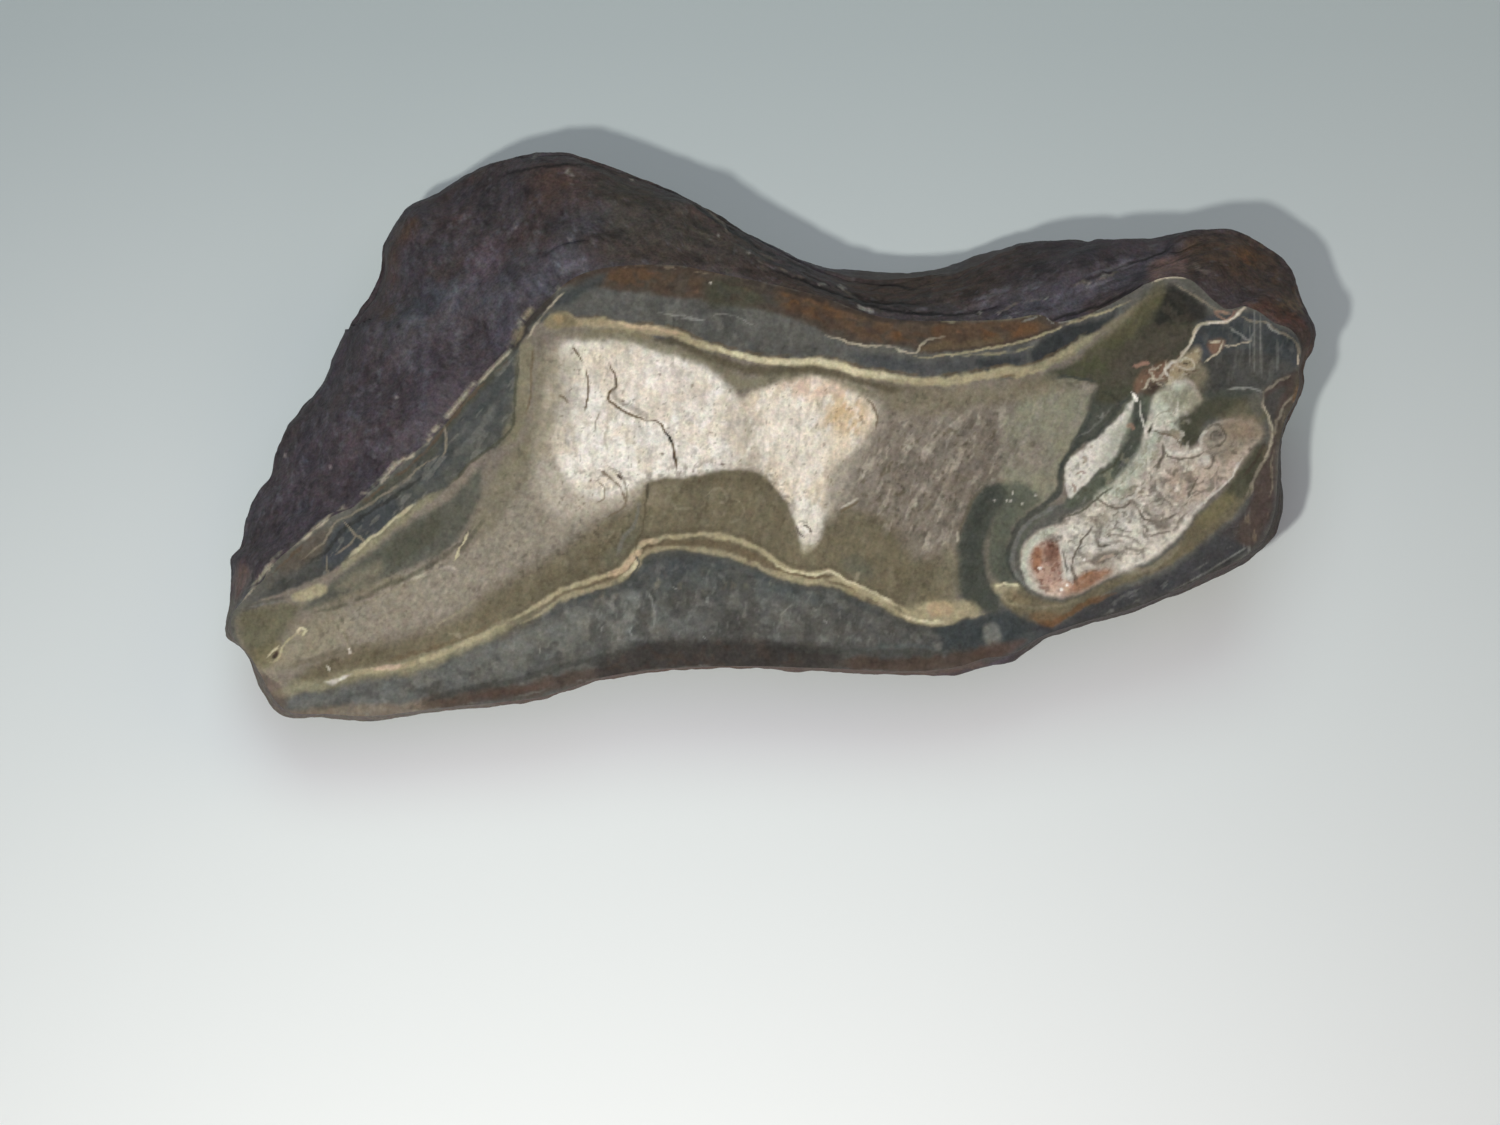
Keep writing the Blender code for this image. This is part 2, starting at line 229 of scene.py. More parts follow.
def angle_and_radius(points):
    """Each point's direction and distance from the middle of the outline."""
    offset = points[:, :2] - OUTLINE_MIDDLE
    return np.arctan2(offset[:, 1], offset[:, 0]), np.hypot(offset[:, 0], offset[:, 1])


def matching_rings():
    """The outline and the edge of the cut, read at the same directions from the middle."""
    outline = evenly_spaced(curve_through(OUTLINE, True, EDGE_STEPS), FINE_STATIONS)
    directions, _ = angle_and_radius(outline)
    edge_directions, edge_radii = angle_and_radius(curve_through(CUT_EDGE, True, EDGE_STEPS))
    order = np.argsort(edge_directions)
    radii = np.interp(directions, edge_directions[order], edge_radii[order], period=2 * math.pi)
    rays = np.column_stack((np.cos(directions), np.sin(directions)))
    return outline, OUTLINE_MIDDLE + radii[:, None] * rays


def place(picture, depth):
    """World points seen at the picture points and lying at a depth below the cut face."""
    spread = UNIT * (1.0 + depth / EYE_DISTANCE)
    across = (picture[:, 0] - PICTURE_MIDDLE[0]) * spread
    upward = (PICTURE_MIDDLE[1] - picture[:, 1]) * spread
    return (
        CUT_FACE_MIDDLE
        + np.outer(across, FACE_RIGHT)
        + np.outer(upward, FACE_UP)
        - np.outer(depth, FACE_NORMAL)
    )


def picture_points(world):
    """Where world points are seen in the picture, square to the cut face."""
    offset = world - CUT_FACE_MIDDLE
    spread = UNIT * (1.0 - offset @ FACE_NORMAL / EYE_DISTANCE)
    return np.column_stack((
        PICTURE_MIDDLE[0] + offset @ FACE_RIGHT / spread,
        PICTURE_MIDDLE[1] - offset @ FACE_UP / spread,
    ))


def depth_at_height(picture, height):
    """How deep below the cut face a picture point lies once it has sunk to a world height."""
    rise = (PICTURE_MIDDLE[1] - picture[:, 1]) * UNIT * math.sin(LEAN)
    return (CUT_FACE_MIDDLE[2] + rise - height) / (math.cos(LEAN) - rise / EYE_DISTANCE)


def flank_ring(outline, edge, turn):
    """One ring of the rind: it leaves the cut at a slope and rolls over to the outline."""
    share = math.sin(turn * math.pi / 2)
    drop = FLANK_STRAIGHTNESS * share + (1 - FLANK_STRAIGHTNESS) * (1 - math.cos(turn * math.pi / 2))
    picture = edge + share * (outline[:, :2] - edge)
    return picture, place(picture, outline[:, 2] * MILLIMETRE * drop)


def rounded(outline):
    """The outline without its small notches, as it lies further down the belly."""
    soft = outline
    reach = BELLY_ROUNDING * STATION_SPLIT
    for _ in range(2):
        soft = sum(np.roll(soft, shift, axis=0) for shift in range(-reach, reach + 1)) / (2 * reach + 1)
    return soft


def belly_ring(outline, soft, turn):
    """One ring of the underside: the outline drawn in to the lowest point of the belly."""
    share = 1 - math.cos(turn * math.pi / 2) ** (2 / BELLY_BLUNTNESS)
    sink = math.sin(turn * math.pi / 2) ** (2 / BELLY_BLUNTNESS)
    rim = outline + smooth_step(turn / BELLY_ROUNDED_BY) * (soft - outline)
    top = place(rim[:, :2], rim[:, 2] * MILLIMETRE)[:, 2]
    picture = rim[:, :2] + share * (np.array(BELLY_MIDDLE) - rim[:, :2])
    return picture, place(picture, depth_at_height(picture, top * (1 - sink)))


def loft():
    """Picture points, world points and ring levels of the rind, ring after ring. A ring level is
    the number of the ring in the solid model, with fractions for the rings between."""
    outline, edge = matching_rings()
    soft = rounded(outline)
    rings = [flank_ring(outline, edge, ring / FINE_FLANK) for ring in range(FINE_FLANK + 1)]
    rings += [belly_ring(outline, soft, ring / FINE_BELLY) for ring in range(1, FINE_BELLY)]
    lowest = np.array([BELLY_MIDDLE])
    rings.append((lowest, place(lowest, depth_at_height(lowest, 0.0))))
    picture = np.vstack([ring[0] for ring in rings])
    world = np.vstack([ring[1] for ring in rings])
    levels = [ring / FLANK_SPLIT for ring in range(FINE_FLANK + 1)]
    levels += [FLANK_RINGS + ring / BELLY_SPLIT for ring in range(1, FINE_BELLY + 1)]
    return picture, world, np.repeat(levels, [len(ring[0]) for ring in rings])


def loft_faces():
    """Bands of four-sided faces between the rings, and a fan at the bottom."""
    ring_count = FINE_FLANK + FINE_BELLY
    station = np.arange(FINE_STATIONS)
    following = (station + 1) % FINE_STATIONS
    faces = []
    for ring in range(ring_count - 1):
        upper = ring * FINE_STATIONS
        lower = upper + FINE_STATIONS
        band = np.column_stack((upper + station, upper + following, lower + following, lower + station))
        faces += band.tolist()
    last = (ring_count - 1) * FINE_STATIONS
    bottom = np.full(FINE_STATIONS, ring_count * FINE_STATIONS)
    faces += np.column_stack((last + station, last + following, bottom)).tolist()
    return faces


def signed_distance(points, line):
    """Distance of each picture point to the line, positive above it in the picture."""
    nearest = np.full(len(points), np.inf)
    signed = np.zeros(len(points))
    for start, end in zip(np.array(line[:-1], float), np.array(line[1:], float)):
        span = end - start
        offset = points - start
        share = np.clip(offset @ span / (span @ span), 0.0, 1.0)
        distance = np.linalg.norm(offset - np.outer(share, span), axis=1)
        side = np.sign(offset[:, 0] * span[1] - offset[:, 1] * span[0])
        closer = distance < nearest
        nearest[closer] = distance[closer]
        signed[closer] = (distance * side)[closer]
    return signed


def lump_height(world, lumps):
    """Height of the weathered lumps at each point."""
    heights = np.zeros(len(world))
    for spacing, height in lumps:
        heights += [height * noise.noise(Vector(point) / spacing + LUMP_SHIFT) for point in world]
    return heights


def flank_relief(picture):
    """Height of the ledges and bumps of the visible rind."""
    heights = np.zeros(len(picture))
    for line, step, reach in LEDGES:
        distance = signed_distance(picture, line)
        heights += step * np.tanh(distance / LEDGE_SOFTNESS) * np.exp(-((distance / reach) ** 2))
    for middle, radius, height in BUMPS:
        distance = np.linalg.norm(picture - middle, axis=1)
        heights += height * (1 - smooth_step(distance / radius))
    return heights


def solid_model_point(index):
    """The fine mesh's number of a point of the solid model."""
    ring, station = divmod(index, STATIONS)
    fine_ring = ring * FLANK_SPLIT
    if ring > FLANK_RINGS:
        fine_ring = FINE_FLANK + (ring - FLANK_RINGS) * BELLY_SPLIT
    return fine_ring * FINE_STATIONS + station * STATION_SPLIT


def pit_depth(world):
    """Depth of the shallow pits, the same ones as in the solid model."""
    dice = random.Random(PIT_SEED)
    depths = np.zeros(len(world))
    last = (FLANK_RINGS + BELLY_RINGS) * STATIONS
    for index in dice.sample(list(range(2 * STATIONS, last + 1)), PIT_COUNT):
        radius = dice.uniform(*PIT_RADIUS)
        distance = np.linalg.norm(world - world[solid_model_point(index)], axis=1)
        depths += dice.uniform(*PIT_DEPTH) * (1 - smooth_step(distance / radius))
    return depths


def rim_distance(world):
    """Distance of each point from the cut's edge, measured to its own station's neighbours."""
    rim = world[:FINE_STATIONS]
    distance = np.full(len(world), np.inf)
    stations = np.arange(len(world)) % FINE_STATIONS
    for shift in range(-RIM_REACH, RIM_REACH + 1, RIM_STRIDE):
        neighbour = rim[(stations + shift) % FINE_STATIONS]
        distance = np.minimum(distance, np.linalg.norm(world - neighbour, axis=1))
    return distance


def strata_height(levels, distance):
    """Fine ridges along the rind's upper side, the worn ends of its layers."""
    stations = np.arange(len(levels)) % FINE_STATIONS
    heights = [
        noise.noise(Vector((station / STRATA_LENGTH, level / STRATA_THICKNESS, STRATA_SLICE)))
        for station, level in zip(stations, levels)
    ]
    return STRATA_HEIGHT * np.array(heights) * smooth_step(distance / RIM_FADE)


def weathered(picture, world, levels, normals):
    """The lofted points moved in and out by lumps, ledges and pits. The cut's edge stays."""
    distance = rim_distance(world)
    free = smooth_step(distance / RIM_FADE)
    outline_share = np.exp(-(((levels - FLANK_RINGS) / OUTLINE_RINGS_CALMED) ** 2))
    lumps_share = free * (1 - (1 - LUMPS_AT_OUTLINE) * outline_share)
    below = smooth_step((levels - FLANK_RINGS) / RINGS_KEPT_ROUND)
    below *= 1 - smooth_step((levels - FLANK_RINGS) / BELLY_RINGS)
    height = lumps_share * lump_height(world, LUMPS) + below * lump_height(world, BELLY_SWELLS)
    height += np.where(levels < FLANK_RINGS, free * flank_relief(picture), 0.0)
    height -= lumps_share * pit_depth(world)
    height += smooth_step(distance / FINE_FADE) * lump_height(world, FINE_LUMPS)
    height += strata_height(levels, distance)
    return world + height[:, None] * normals


def broken_flats(world, levels):
    """The underside pressed flat against its facets, and cut level at the rest spot."""
    shaped = world.copy()
    below = smooth_step((levels - FLANK_RINGS) / RINGS_KEPT_ROUND)
    for compass, steepness, depth in FACETS:
        level = math.cos(math.radians(steepness))
        direction = np.array((
            level * math.cos(math.radians(compass)),
            level * math.sin(math.radians(compass)),
            -math.sin(math.radians(steepness)),
        ))
        reach = shaped @ direction
        over = np.clip(reach - (reach.max() - depth), 0.0, None)
        shaped -= np.outer(below * over * FACET_FLATNESS, direction)
    shaped[:, 2] = np.maximum(shaped[:, 2], 0.0)
    return shaped


def mesh_normals(mesh):
    """The mesh's point normals as an array."""
    values = np.empty(len(mesh.vertices) * 3, np.float32)
    mesh.vertex_normals.foreach_get("vector", values)
    return values.reshape(-1, 3).astype(float)


def make_object(name, world, faces):
    """A new object of the scene with the given points and faces."""
    mesh = bpy.data.meshes.new(name)
    mesh.from_pydata(world.tolist(), [], faces)
    mesh.update()
    mesh.shade_smooth()
    piece = bpy.data.objects.new(name, mesh)
    bpy.context.scene.collection.objects.link(piece)
    return piece


def move_points(piece, world):
    """Puts the piece's points at new places."""
    piece.data.vertices.foreach_set("co", world.astype(np.float32).ravel())
    piece.data.update()


def make_rind():
    """The natural surface from the cut's edge over the outline to the rest spot."""
    picture, world, levels = loft()
    piece = make_object("rind", world, loft_faces())
    world = weathered(picture, world, levels, mesh_normals(piece.data))
    world = broken_flats(world, levels)
    colour, height = paint_rind(world, levels)
    move_points(piece, world)
    world += (height * MILLIMETRE)[:, None] * mesh_normals(piece.data)
    move_points(piece, world)
    paint_piece(piece, colour)
    return piece, world


def inside(points, loop):
    """Which points lie inside the closed loop."""
    within = np.zeros(len(points), bool)
    x, y = points[:, 0], points[:, 1]
    for (x0, y0), (x1, y1) in zip(loop, np.roll(loop, -1, axis=0)):
        if y0 == y1:
            continue
        crosses = (y0 > y) != (y1 > y)
        within ^= crosses & (x < (x1 - x0) * (y - y0) / (y1 - y0) + x0)
    return within


def face_grid(rim):
    """Even rows of points on the cut, in the picture, that keep a little away from the rim."""
    low = rim.min(axis=0)
    columns, rows = np.ceil((rim.max(axis=0) - low) / FACE_STEP).astype(int) + 1
    grid_x, grid_y = np.meshgrid(np.arange(columns), np.arange(rows))
    grid = np.column_stack((grid_x.ravel(), grid_y.ravel())) * FACE_STEP + low
    free = inside(grid, rim).reshape(rows, columns)
    for point in rim:
        column, row = np.floor((point - low) / FACE_STEP).astype(int)
        free[max(row, 0):row + 2, max(column, 0):column + 2] = False
    return grid[free.ravel()]


def face_mesh(rim):
    """Points and triangles of the cut in the picture. The rim's points come first."""
    points = np.vstack((rim, face_grid(rim)))
    count = len(rim)
    edges = [(index, (index + 1) % count) for index in range(count)]
    flat = [Vector(point) for point in points]
    _, _, triangles, _, _, _ = geometry.delaunay_2d_cdt(flat, edges, [], 1, 1e-6)
    triangles = np.array(triangles)
    corners = points[triangles]
    first = corners[:, 1] - corners[:, 0]
    second = corners[:, 2] - corners[:, 0]
    flipped = first[:, 0] * second[:, 1] - first[:, 1] * second[:, 0] > 0
    triangles[flipped] = triangles[flipped][:, ::-1]
    return points, triangles


# Width and roughness of the sheet, its colour in front of the stone and behind it, and where each is
# reached. The change of colour is painted light and shade: the sheet is lighter in front and darker and
# bluer behind, in place of the lamps' light falling off
FLOOR_SIZE = 6.0
FLOOR_ROUGHNESS = 0.9
FLOOR_FRONT_LIT = (0.87, 0.89, 0.89)
FLOOR_BACK_SHADED = (0.60, 0.66, 0.68)
FLOOR_FRONT_Y = -0.10
FLOOR_BACK_Y = 0.07

# Lamps: name, place, where it points, width, power, colour. The key gives the crisp shadow
LIGHTS = (
    ("key", (-0.0420, -0.1409, 0.2363), (0.0, -0.03, 0.0), 0.010, 0.385, (0.99, 1.0, 0.92)),
    ("left", (-0.25, -0.30, 0.30), (0.0, -0.05, 0.0), 0.25, 0.047, (1.0, 1.0, 1.0)),
    ("over", (0.0, 0.42, 0.80), (0.0, 0.0, 0.0), 0.60, 1.75, (0.75, 1.0, 0.90)),
    ("over_near", (0.0, -0.07, 0.40), (0.0, -0.05, 0.0), 0.40, 0.35, (0.85, 0.70, 1.0)),
    ("low", (0.0, -0.25, 0.07), (0.0, -0.10, 0.0), 0.12, 0.10, (1.0, 0.80, 0.82)),
    ("right", (0.70, 0.20, 0.60), (0.0, 0.0, 0.0), 0.60, 0.92, (1.0, 0.82, 0.50)),
)
SURROUND_COLOUR = (0.85, 0.9, 1.0)
SURROUND_STRENGTH = 0.02

# The camera: focal length and width of the picture in millimetres, and where its sight begins
CAMERA_LENS = 50.0
CAMERA_SENSOR = 36.0
CAMERA_NEAR = 0.01

# The two kinds of stone: how rough and how glossy they are, the strengths of the shader's grain
# and hues, and the height of its bumps
RIND_STONE = dict(roughness=0.62, gloss=0.3, grain_strength=0.34, hue_strength=0.13, bump_height=0.00016)
CUT_STONE = dict(roughness=0.72, gloss=0.06, grain_strength=0.18, hue_strength=0.06, bump_height=0.00004)

# Fine noises of the shader: scale, detail, and roughness. Then the noise's usual range
GRAIN_NOISE = (2600.0, 3.0, 0.6)
HUE_NOISE = (1100.0, 5.0, 0.7)
BUMP_NOISE = (1500.0, 4.0, 0.6)
NOISE_RANGE = (0.25, 0.75)
BUMP_STRENGTH = 0.8

# Painting: how the painted shapes waver, as widths of the waves and shifts in picture units, the
# seeds of the two directions, and the size of the search squares and the step of their row numbers
WAVERS = ((40.0, 1.4), (9.0, 0.8), (4.0, 0.6))
WAVER_SEEDS = (100, 200)
CELL = 12.0
ROW_KEY = 1000

# Painted lines: share of the width and of the colour that is left at a tapered end, how much the
# width varies, the least half width, the least soft edge, and how crisply a broken line stops
END_WIDTH = 0.35
END_STRENGTH = 0.4
WIDTH_VARIES = 0.3
LEAST_HALF_WIDTH = 0.35
LEAST_SOFT_EDGE = 0.8
BREAK_CRISPNESS = 1.6

# Noises of the painted shapes: blob size and first seed of a line's width and of its breaks, blob
# size and the two first seeds of the bend of blobs, and the first seed of the blobs themselves
WIDTH_NOISE = (9.0, 300)
BREAK_NOISE = (14.0, 500)
BEND_SIZE = 20.0
BEND_SEEDS = (600, 650)
BLOB_SEED = 700

# Tables of random numbers behind the noises: points along a side, shift of the places, reach of
# the smoothed numbers, and the share that each finer octave keeps
FLAT_TABLE = 256
FLAT_SHIFT = 37.0
FLAT_REACH = 0.75
SOLID_TABLE = 64
SOLID_SHIFT = 17.0
SOLID_REACH = 0.6
OCTAVE_SHARE = 0.55


def linear(code):
    """Linear colour of a colour code as it looks on a screen."""
    number = int(code, 16)
    shown = np.array(((number >> 16) & 255, (number >> 8) & 255, number & 255)) / 255.0
    return np.where(shown <= 0.04045, shown / 12.92, ((shown + 0.055) / 1.055) ** 2.4)


def parse(text):
    """Picture points written as 'x,y x,y'."""
    return np.array([[float(value) for value in pair.split(",")] for pair in text.split()])


def grain(points, size, seed, octaves=1):
    """Smooth noise from -1 to 1 over picture points; size is the width of its blobs."""
    total = np.zeros(len(points))
    weight = 1.0
    reach = 0.0
    for octave in range(octaves):
        table = np.random.default_rng(seed + octave).uniform(-1.0, 1.0, (FLAT_TABLE, FLAT_TABLE))
        scaled = points / (size / 2**octave) + FLAT_SHIFT
        cell = np.floor(scaled).astype(int)
        share = smooth_step(scaled - cell)
        x0, y0 = cell[:, 0] % FLAT_TABLE, cell[:, 1] % FLAT_TABLE
        x1, y1 = (x0 + 1) % FLAT_TABLE, (y0 + 1) % FLAT_TABLE
        upper = table[x0, y0] * (1 - share[:, 0]) + table[x1, y0] * share[:, 0]
        lower = table[x0, y1] * (1 - share[:, 0]) + table[x1, y1] * share[:, 0]
        total += weight * (upper * (1 - share[:, 1]) + lower * share[:, 1])
        reach += weight * FLAT_REACH
        weight *= OCTAVE_SHARE
    return np.clip(total / reach, -1.0, 1.0)


def turned(points, degrees, stretch):
    """Picture points turned and squeezed, so that a grain over them runs at an angle."""
    angle = math.radians(degrees)
    along = points[:, 0] * math.cos(angle) - points[:, 1] * math.sin(angle)
    across = points[:, 0] * math.sin(angle) + points[:, 1] * math.cos(angle)
    return np.column_stack((along / stretch, across))


def bent(points, reach, size, seeds):
    """Picture points pushed about by a grain, so that what is painted over them winds."""
    return points + reach * np.column_stack([grain(points, size, seed, 2) for seed in seeds])


def spots(points, size, seed, level, crisp):
    """Spots where a grain rises over a level, from 0 to 1."""
    return smooth_step((grain(points, size, seed, 2) - level) * crisp)


class Canvas:
    """Colour and height at picture points, painted layer over layer. Wavy shapes are laid over
    points that are shifted a little, so that their edges waver, and straight ones over the raw."""

    def __init__(self, points, ground):
        self.raw = points
        shift = np.zeros_like(points)
        for number, (size, width) in enumerate(WAVERS):
            for axis, seed in enumerate(WAVER_SEEDS):
                shift[:, axis] += width * grain(points, size, seed + number)
        self.points = points + shift
        self.colour = np.tile(linear(ground), (len(points), 1))
        self.height = np.zeros(len(points))
        self.cells = {"wavy": self.sorted_cells(self.points), "straight": self.sorted_cells(self.raw)}

    def sorted_cells(self, points):
        """The numbers of the points in each small square of the picture."""
        columns = np.floor(points / CELL).astype(int)
        keys = columns[:, 1] * ROW_KEY + columns[:, 0]
        order = np.argsort(keys, kind="stable")
        firsts, starts = np.unique(keys[order], return_index=True)
        return dict(zip(firsts.tolist(), np.split(order, starts[1:])))

    def candidates(self, low, high, manner):
        """The numbers of the points in the squares between two corners."""
        cells = self.cells[manner]
        first = np.floor(low / CELL).astype(int)
        last = np.floor(high / CELL).astype(int)
        keys = [
            row * ROW_KEY + column
            for row in range(first[1], last[1] + 1)
            for column in range(first[0], last[0] + 1)
        ]
        found = [cells[key] for key in keys if key in cells]
        return np.concatenate(found) if found else np.zeros(0, int)

    def near(self, line, reach, manner):
        """Points within reach of the line: numbers, distances, share along it, and the side."""
        points = self.points if manner == "wavy" else self.raw
        distance = np.full(len(points), np.inf)
        along = np.zeros(len(points))
        side = np.zeros(len(points))
        lengths = np.linalg.norm(np.diff(line, axis=0), axis=1)
        travelled = np.concatenate(([0.0], np.cumsum(lengths)))
        for index in range(len(line) - 1):
            start, span = line[index], line[index + 1] - line[index]
            low = np.minimum(line[index], line[index + 1]) - reach
            high = np.maximum(line[index], line[index + 1]) + reach
            chosen = self.candidates(low, high, manner)
            offset = points[chosen] - start
            share = np.clip(offset @ span / max(span @ span, 1e-9), 0.0, 1.0)
            away = offset - share[:, None] * span
            gap = np.hypot(away[:, 0], away[:, 1])
            closer = gap < np.minimum(distance[chosen], reach)
            chosen = chosen[closer]
            distance[chosen] = gap[closer]
            along[chosen] = travelled[index] + share[closer] * lengths[index]
            side[chosen] = np.sign(offset[closer, 0] * span[1] - offset[closer, 1] * span[0])
        found = np.flatnonzero(np.isfinite(distance))
        return found, distance[found], along[found] / travelled[-1], side[found]

    def lay(self, chosen, share, colour):
        """Lays a colour over the chosen points, share by share."""
        share = np.clip(share, 0.0, 1.0)
        self.colour[chosen] += share[:, None] * (linear(colour) - self.colour[chosen])

    def area_share(self, outline, soft):
        """How far each point is inside a closed outline with a soft edge, from 0 to 1."""
        loop = curve_through(parse(outline), True, AREA_STEPS)
        chosen = self.candidates(loop.min(axis=0), loop.max(axis=0), "wavy")
        share = np.zeros(len(self.points))
        share[chosen[inside(self.points[chosen], loop)]] = 1.0
        found, distance, _, _ = self.near(np.vstack((loop, loop[:1])), soft, "wavy")
        depth = np.where(share[found] > 0.5, distance, -distance)
        share[found] = smooth_step(0.5 + depth / (2 * soft))
        return share

    def area(self, outline, colour, soft=3.0, strength=1.0):
        """A closed area with a soft edge."""
        share = self.area_share(outline, soft)
        chosen = np.flatnonzero(share > 0.0)
        self.lay(chosen, share[chosen] * strength, colour)

    def line(self, path, colour, width, strength=1.0, soft=0.5, ends=0.12, broken=0.0, shift=0.0,
             groove=0.0, straight=False, seed=0):
        """A line of a width in picture units. Soft is the share of it that fades out sideways,
        ends the share of the length that tapers, broken how much it comes and goes, shift how far
        it lies beside its path, and groove how deep it is cut in, in millimetres."""
        manner = "straight" if straight else "wavy"
        knots = parse(path)
        course = knots if straight else curve_through(knots, False, LINE_STEPS)
        found, distance, along, side = self.near(course, width + abs(shift) + 1.0, manner)
        distance = np.abs(distance * side - shift) if shift else distance
        taper = smooth_step(np.minimum(along, 1 - along) / ends) if ends else 1.0
        size, first_seed = WIDTH_NOISE
        uneven = 1 + WIDTH_VARIES * grain(self.raw[found], size, first_seed + seed, 2)
        half = np.maximum(width / 2 * (END_WIDTH + (1 - END_WIDTH) * taper) * uneven, LEAST_HALF_WIDTH)
        inner = half * (1 - soft)
        share = 1 - smooth_step((distance - inner) / np.maximum(half * 2 * soft, LEAST_SOFT_EDGE))
        share *= strength * (END_STRENGTH + (1 - END_STRENGTH) * taper)
        if broken:
            size, first_seed = BREAK_NOISE
            kept = grain(self.raw[found], size, first_seed + seed, 2) + 1 - 2 * broken
            share *= smooth_step(0.5 + kept * BREAK_CRISPNESS)
        self.lay(found, share, colour)
        self.height[found] -= groove * share

    def dots(self, middles, colour, radius, strength=1.0, soft=0.5, groove=0.0):
        """Round spots."""
        reach = 2 * radius + 2
        inner = radius * (1 - soft)
        for middle in parse(middles):
            chosen = self.candidates(middle - reach, middle + reach, "wavy")
            distance = np.linalg.norm(self.points[chosen] - middle, axis=1)
            share = strength * (1 - smooth_step((distance - inner) / max(2 * radius * soft, 1.0)))
            self.lay(chosen, share, colour)
            self.height[chosen] -= groove * share

    def blobs(self, outline, colour, size, level, strength, soft, degrees=0.0, stretch=1.0,
              crisp=2.5, bend=0.0, seed=0):
        """Blobs or strokes of a colour inside an outline, where a grain rises over a level."""
        share = self.area_share(outline, soft)
        chosen = np.flatnonzero(share > 0.01)
        places = self.points[chosen]
        if bend:
            places = bent(places, bend, BEND_SIZE, [first_seed + seed for first_seed in BEND_SEEDS])
        cover = spots(turned(places, degrees, stretch), size, BLOB_SEED + seed, level, crisp)
        self.lay(chosen, strength * share[chosen] * cover, colour)


# Colours of the cut and its rim, as they look on a screen
PALETTE = {
    "chalk": "E8E3D9", "chalk_pink": "E0D3C7", "chalk_grey": "B3AB9C", "chalk_warm": "DACDB8",
    "peach": "CBAC7E", "blush": "D3B7A4", "neck": "C3BAAC", "bone": "D9D3C5",
    "greige": "7D756A", "greige_dark": "665F55", "greige_light": "948C7E", "beige": "8D8678",
    "olive": "6C6552", "olive_dark": "585140", "olive_light": "8B8470", "khaki": "7B7662",
    "cream": "C6BE9F", "cream_dim": "A39A7D", "cream_dark": "88836C", "tan": "80775F",
    "brown_line": "655743", "brown": "5A4C3E", "brown_dark": "453A33", "black_brown": "35302D",
    "brown_pale": "8A7B69", "brown_red": "744F41",
    "slate": "5A5A56", "slate_dark": "474744", "slate_pale": "73736D", "slate_blue": "45484A",
    "navy": "2C3032", "navy_soft": "3E4242", "steel": "505553", "steel_dark": "3D4243",
    "rust": "594839", "rust_orange": "66492F", "rust_brown": "4C443C", "rust_red": "54433B",
    "rust_dark": "4A3D35", "green": "5C5F53", "green_dark": "4A4A3D", "green_grey": "878673",
    "green_mid": "565A4E", "lens": "5B5B52", "moss": "736C52", "crescent": "484B44",
    "crescent_dark": "3F433E", "ink": "2C2C29", "marble": "CDC9BE", "marble_light": "CFCBC0",
    "marble_body": "B5ACA0", "marble_green": "B8BBAC", "marble_pink": "B3A292",
    "marble_grey": "8C867C", "marble_dark": "5F584D", "flesh": "A88472", "orange": "8B5E40",
    "plum": "434344", "plum_brown": "4E443F", "vein": "B5AC98", "vein_dim": "7F786A",
    "scratch": "8A8B85", "white": "EFEBE2", "slate_band": "545550", "olive_green": "615E4B",
    "chalk_stroke": "B5AEA0", "olive_soft": "7A7361", "peach_dim": "B09A7C", "peach_pale": "BFA98C",
    "moss_dark": "5A563F", "green_deep": "4B4D3A", "brown_grey": "4F4A41", "flesh_dark": "7C6251",
    "vein_body": "9A8D72", "slate_deep": "42433F", "lens_green": "A0A292", "rust_light": "6B5038",
    "beige_dark": "897F6E", "steel_pale": "63666A", "chalk_yellow": "D6CFBB", "slate_light": "676863",
}

def layer(kind):
    """A function that writes down a layer of paint. The canvas method of the same kind lays it."""
    def written(_, shape, colour, *numbers, **settings):
        return kind, shape, colour, numbers, settings
    return written


# Layers of paint, from the lowest up. Each says what it shows, then its points in picture units,
# its colour, and its settings: softness and strength of an area, width and strength of a line,
# size, level, strength and softness of blobs, radius and strength of dots. The rest goes by name
area, line, blobs, dots = (layer(kind) for kind in ("area", "line", "blobs", "dots"))

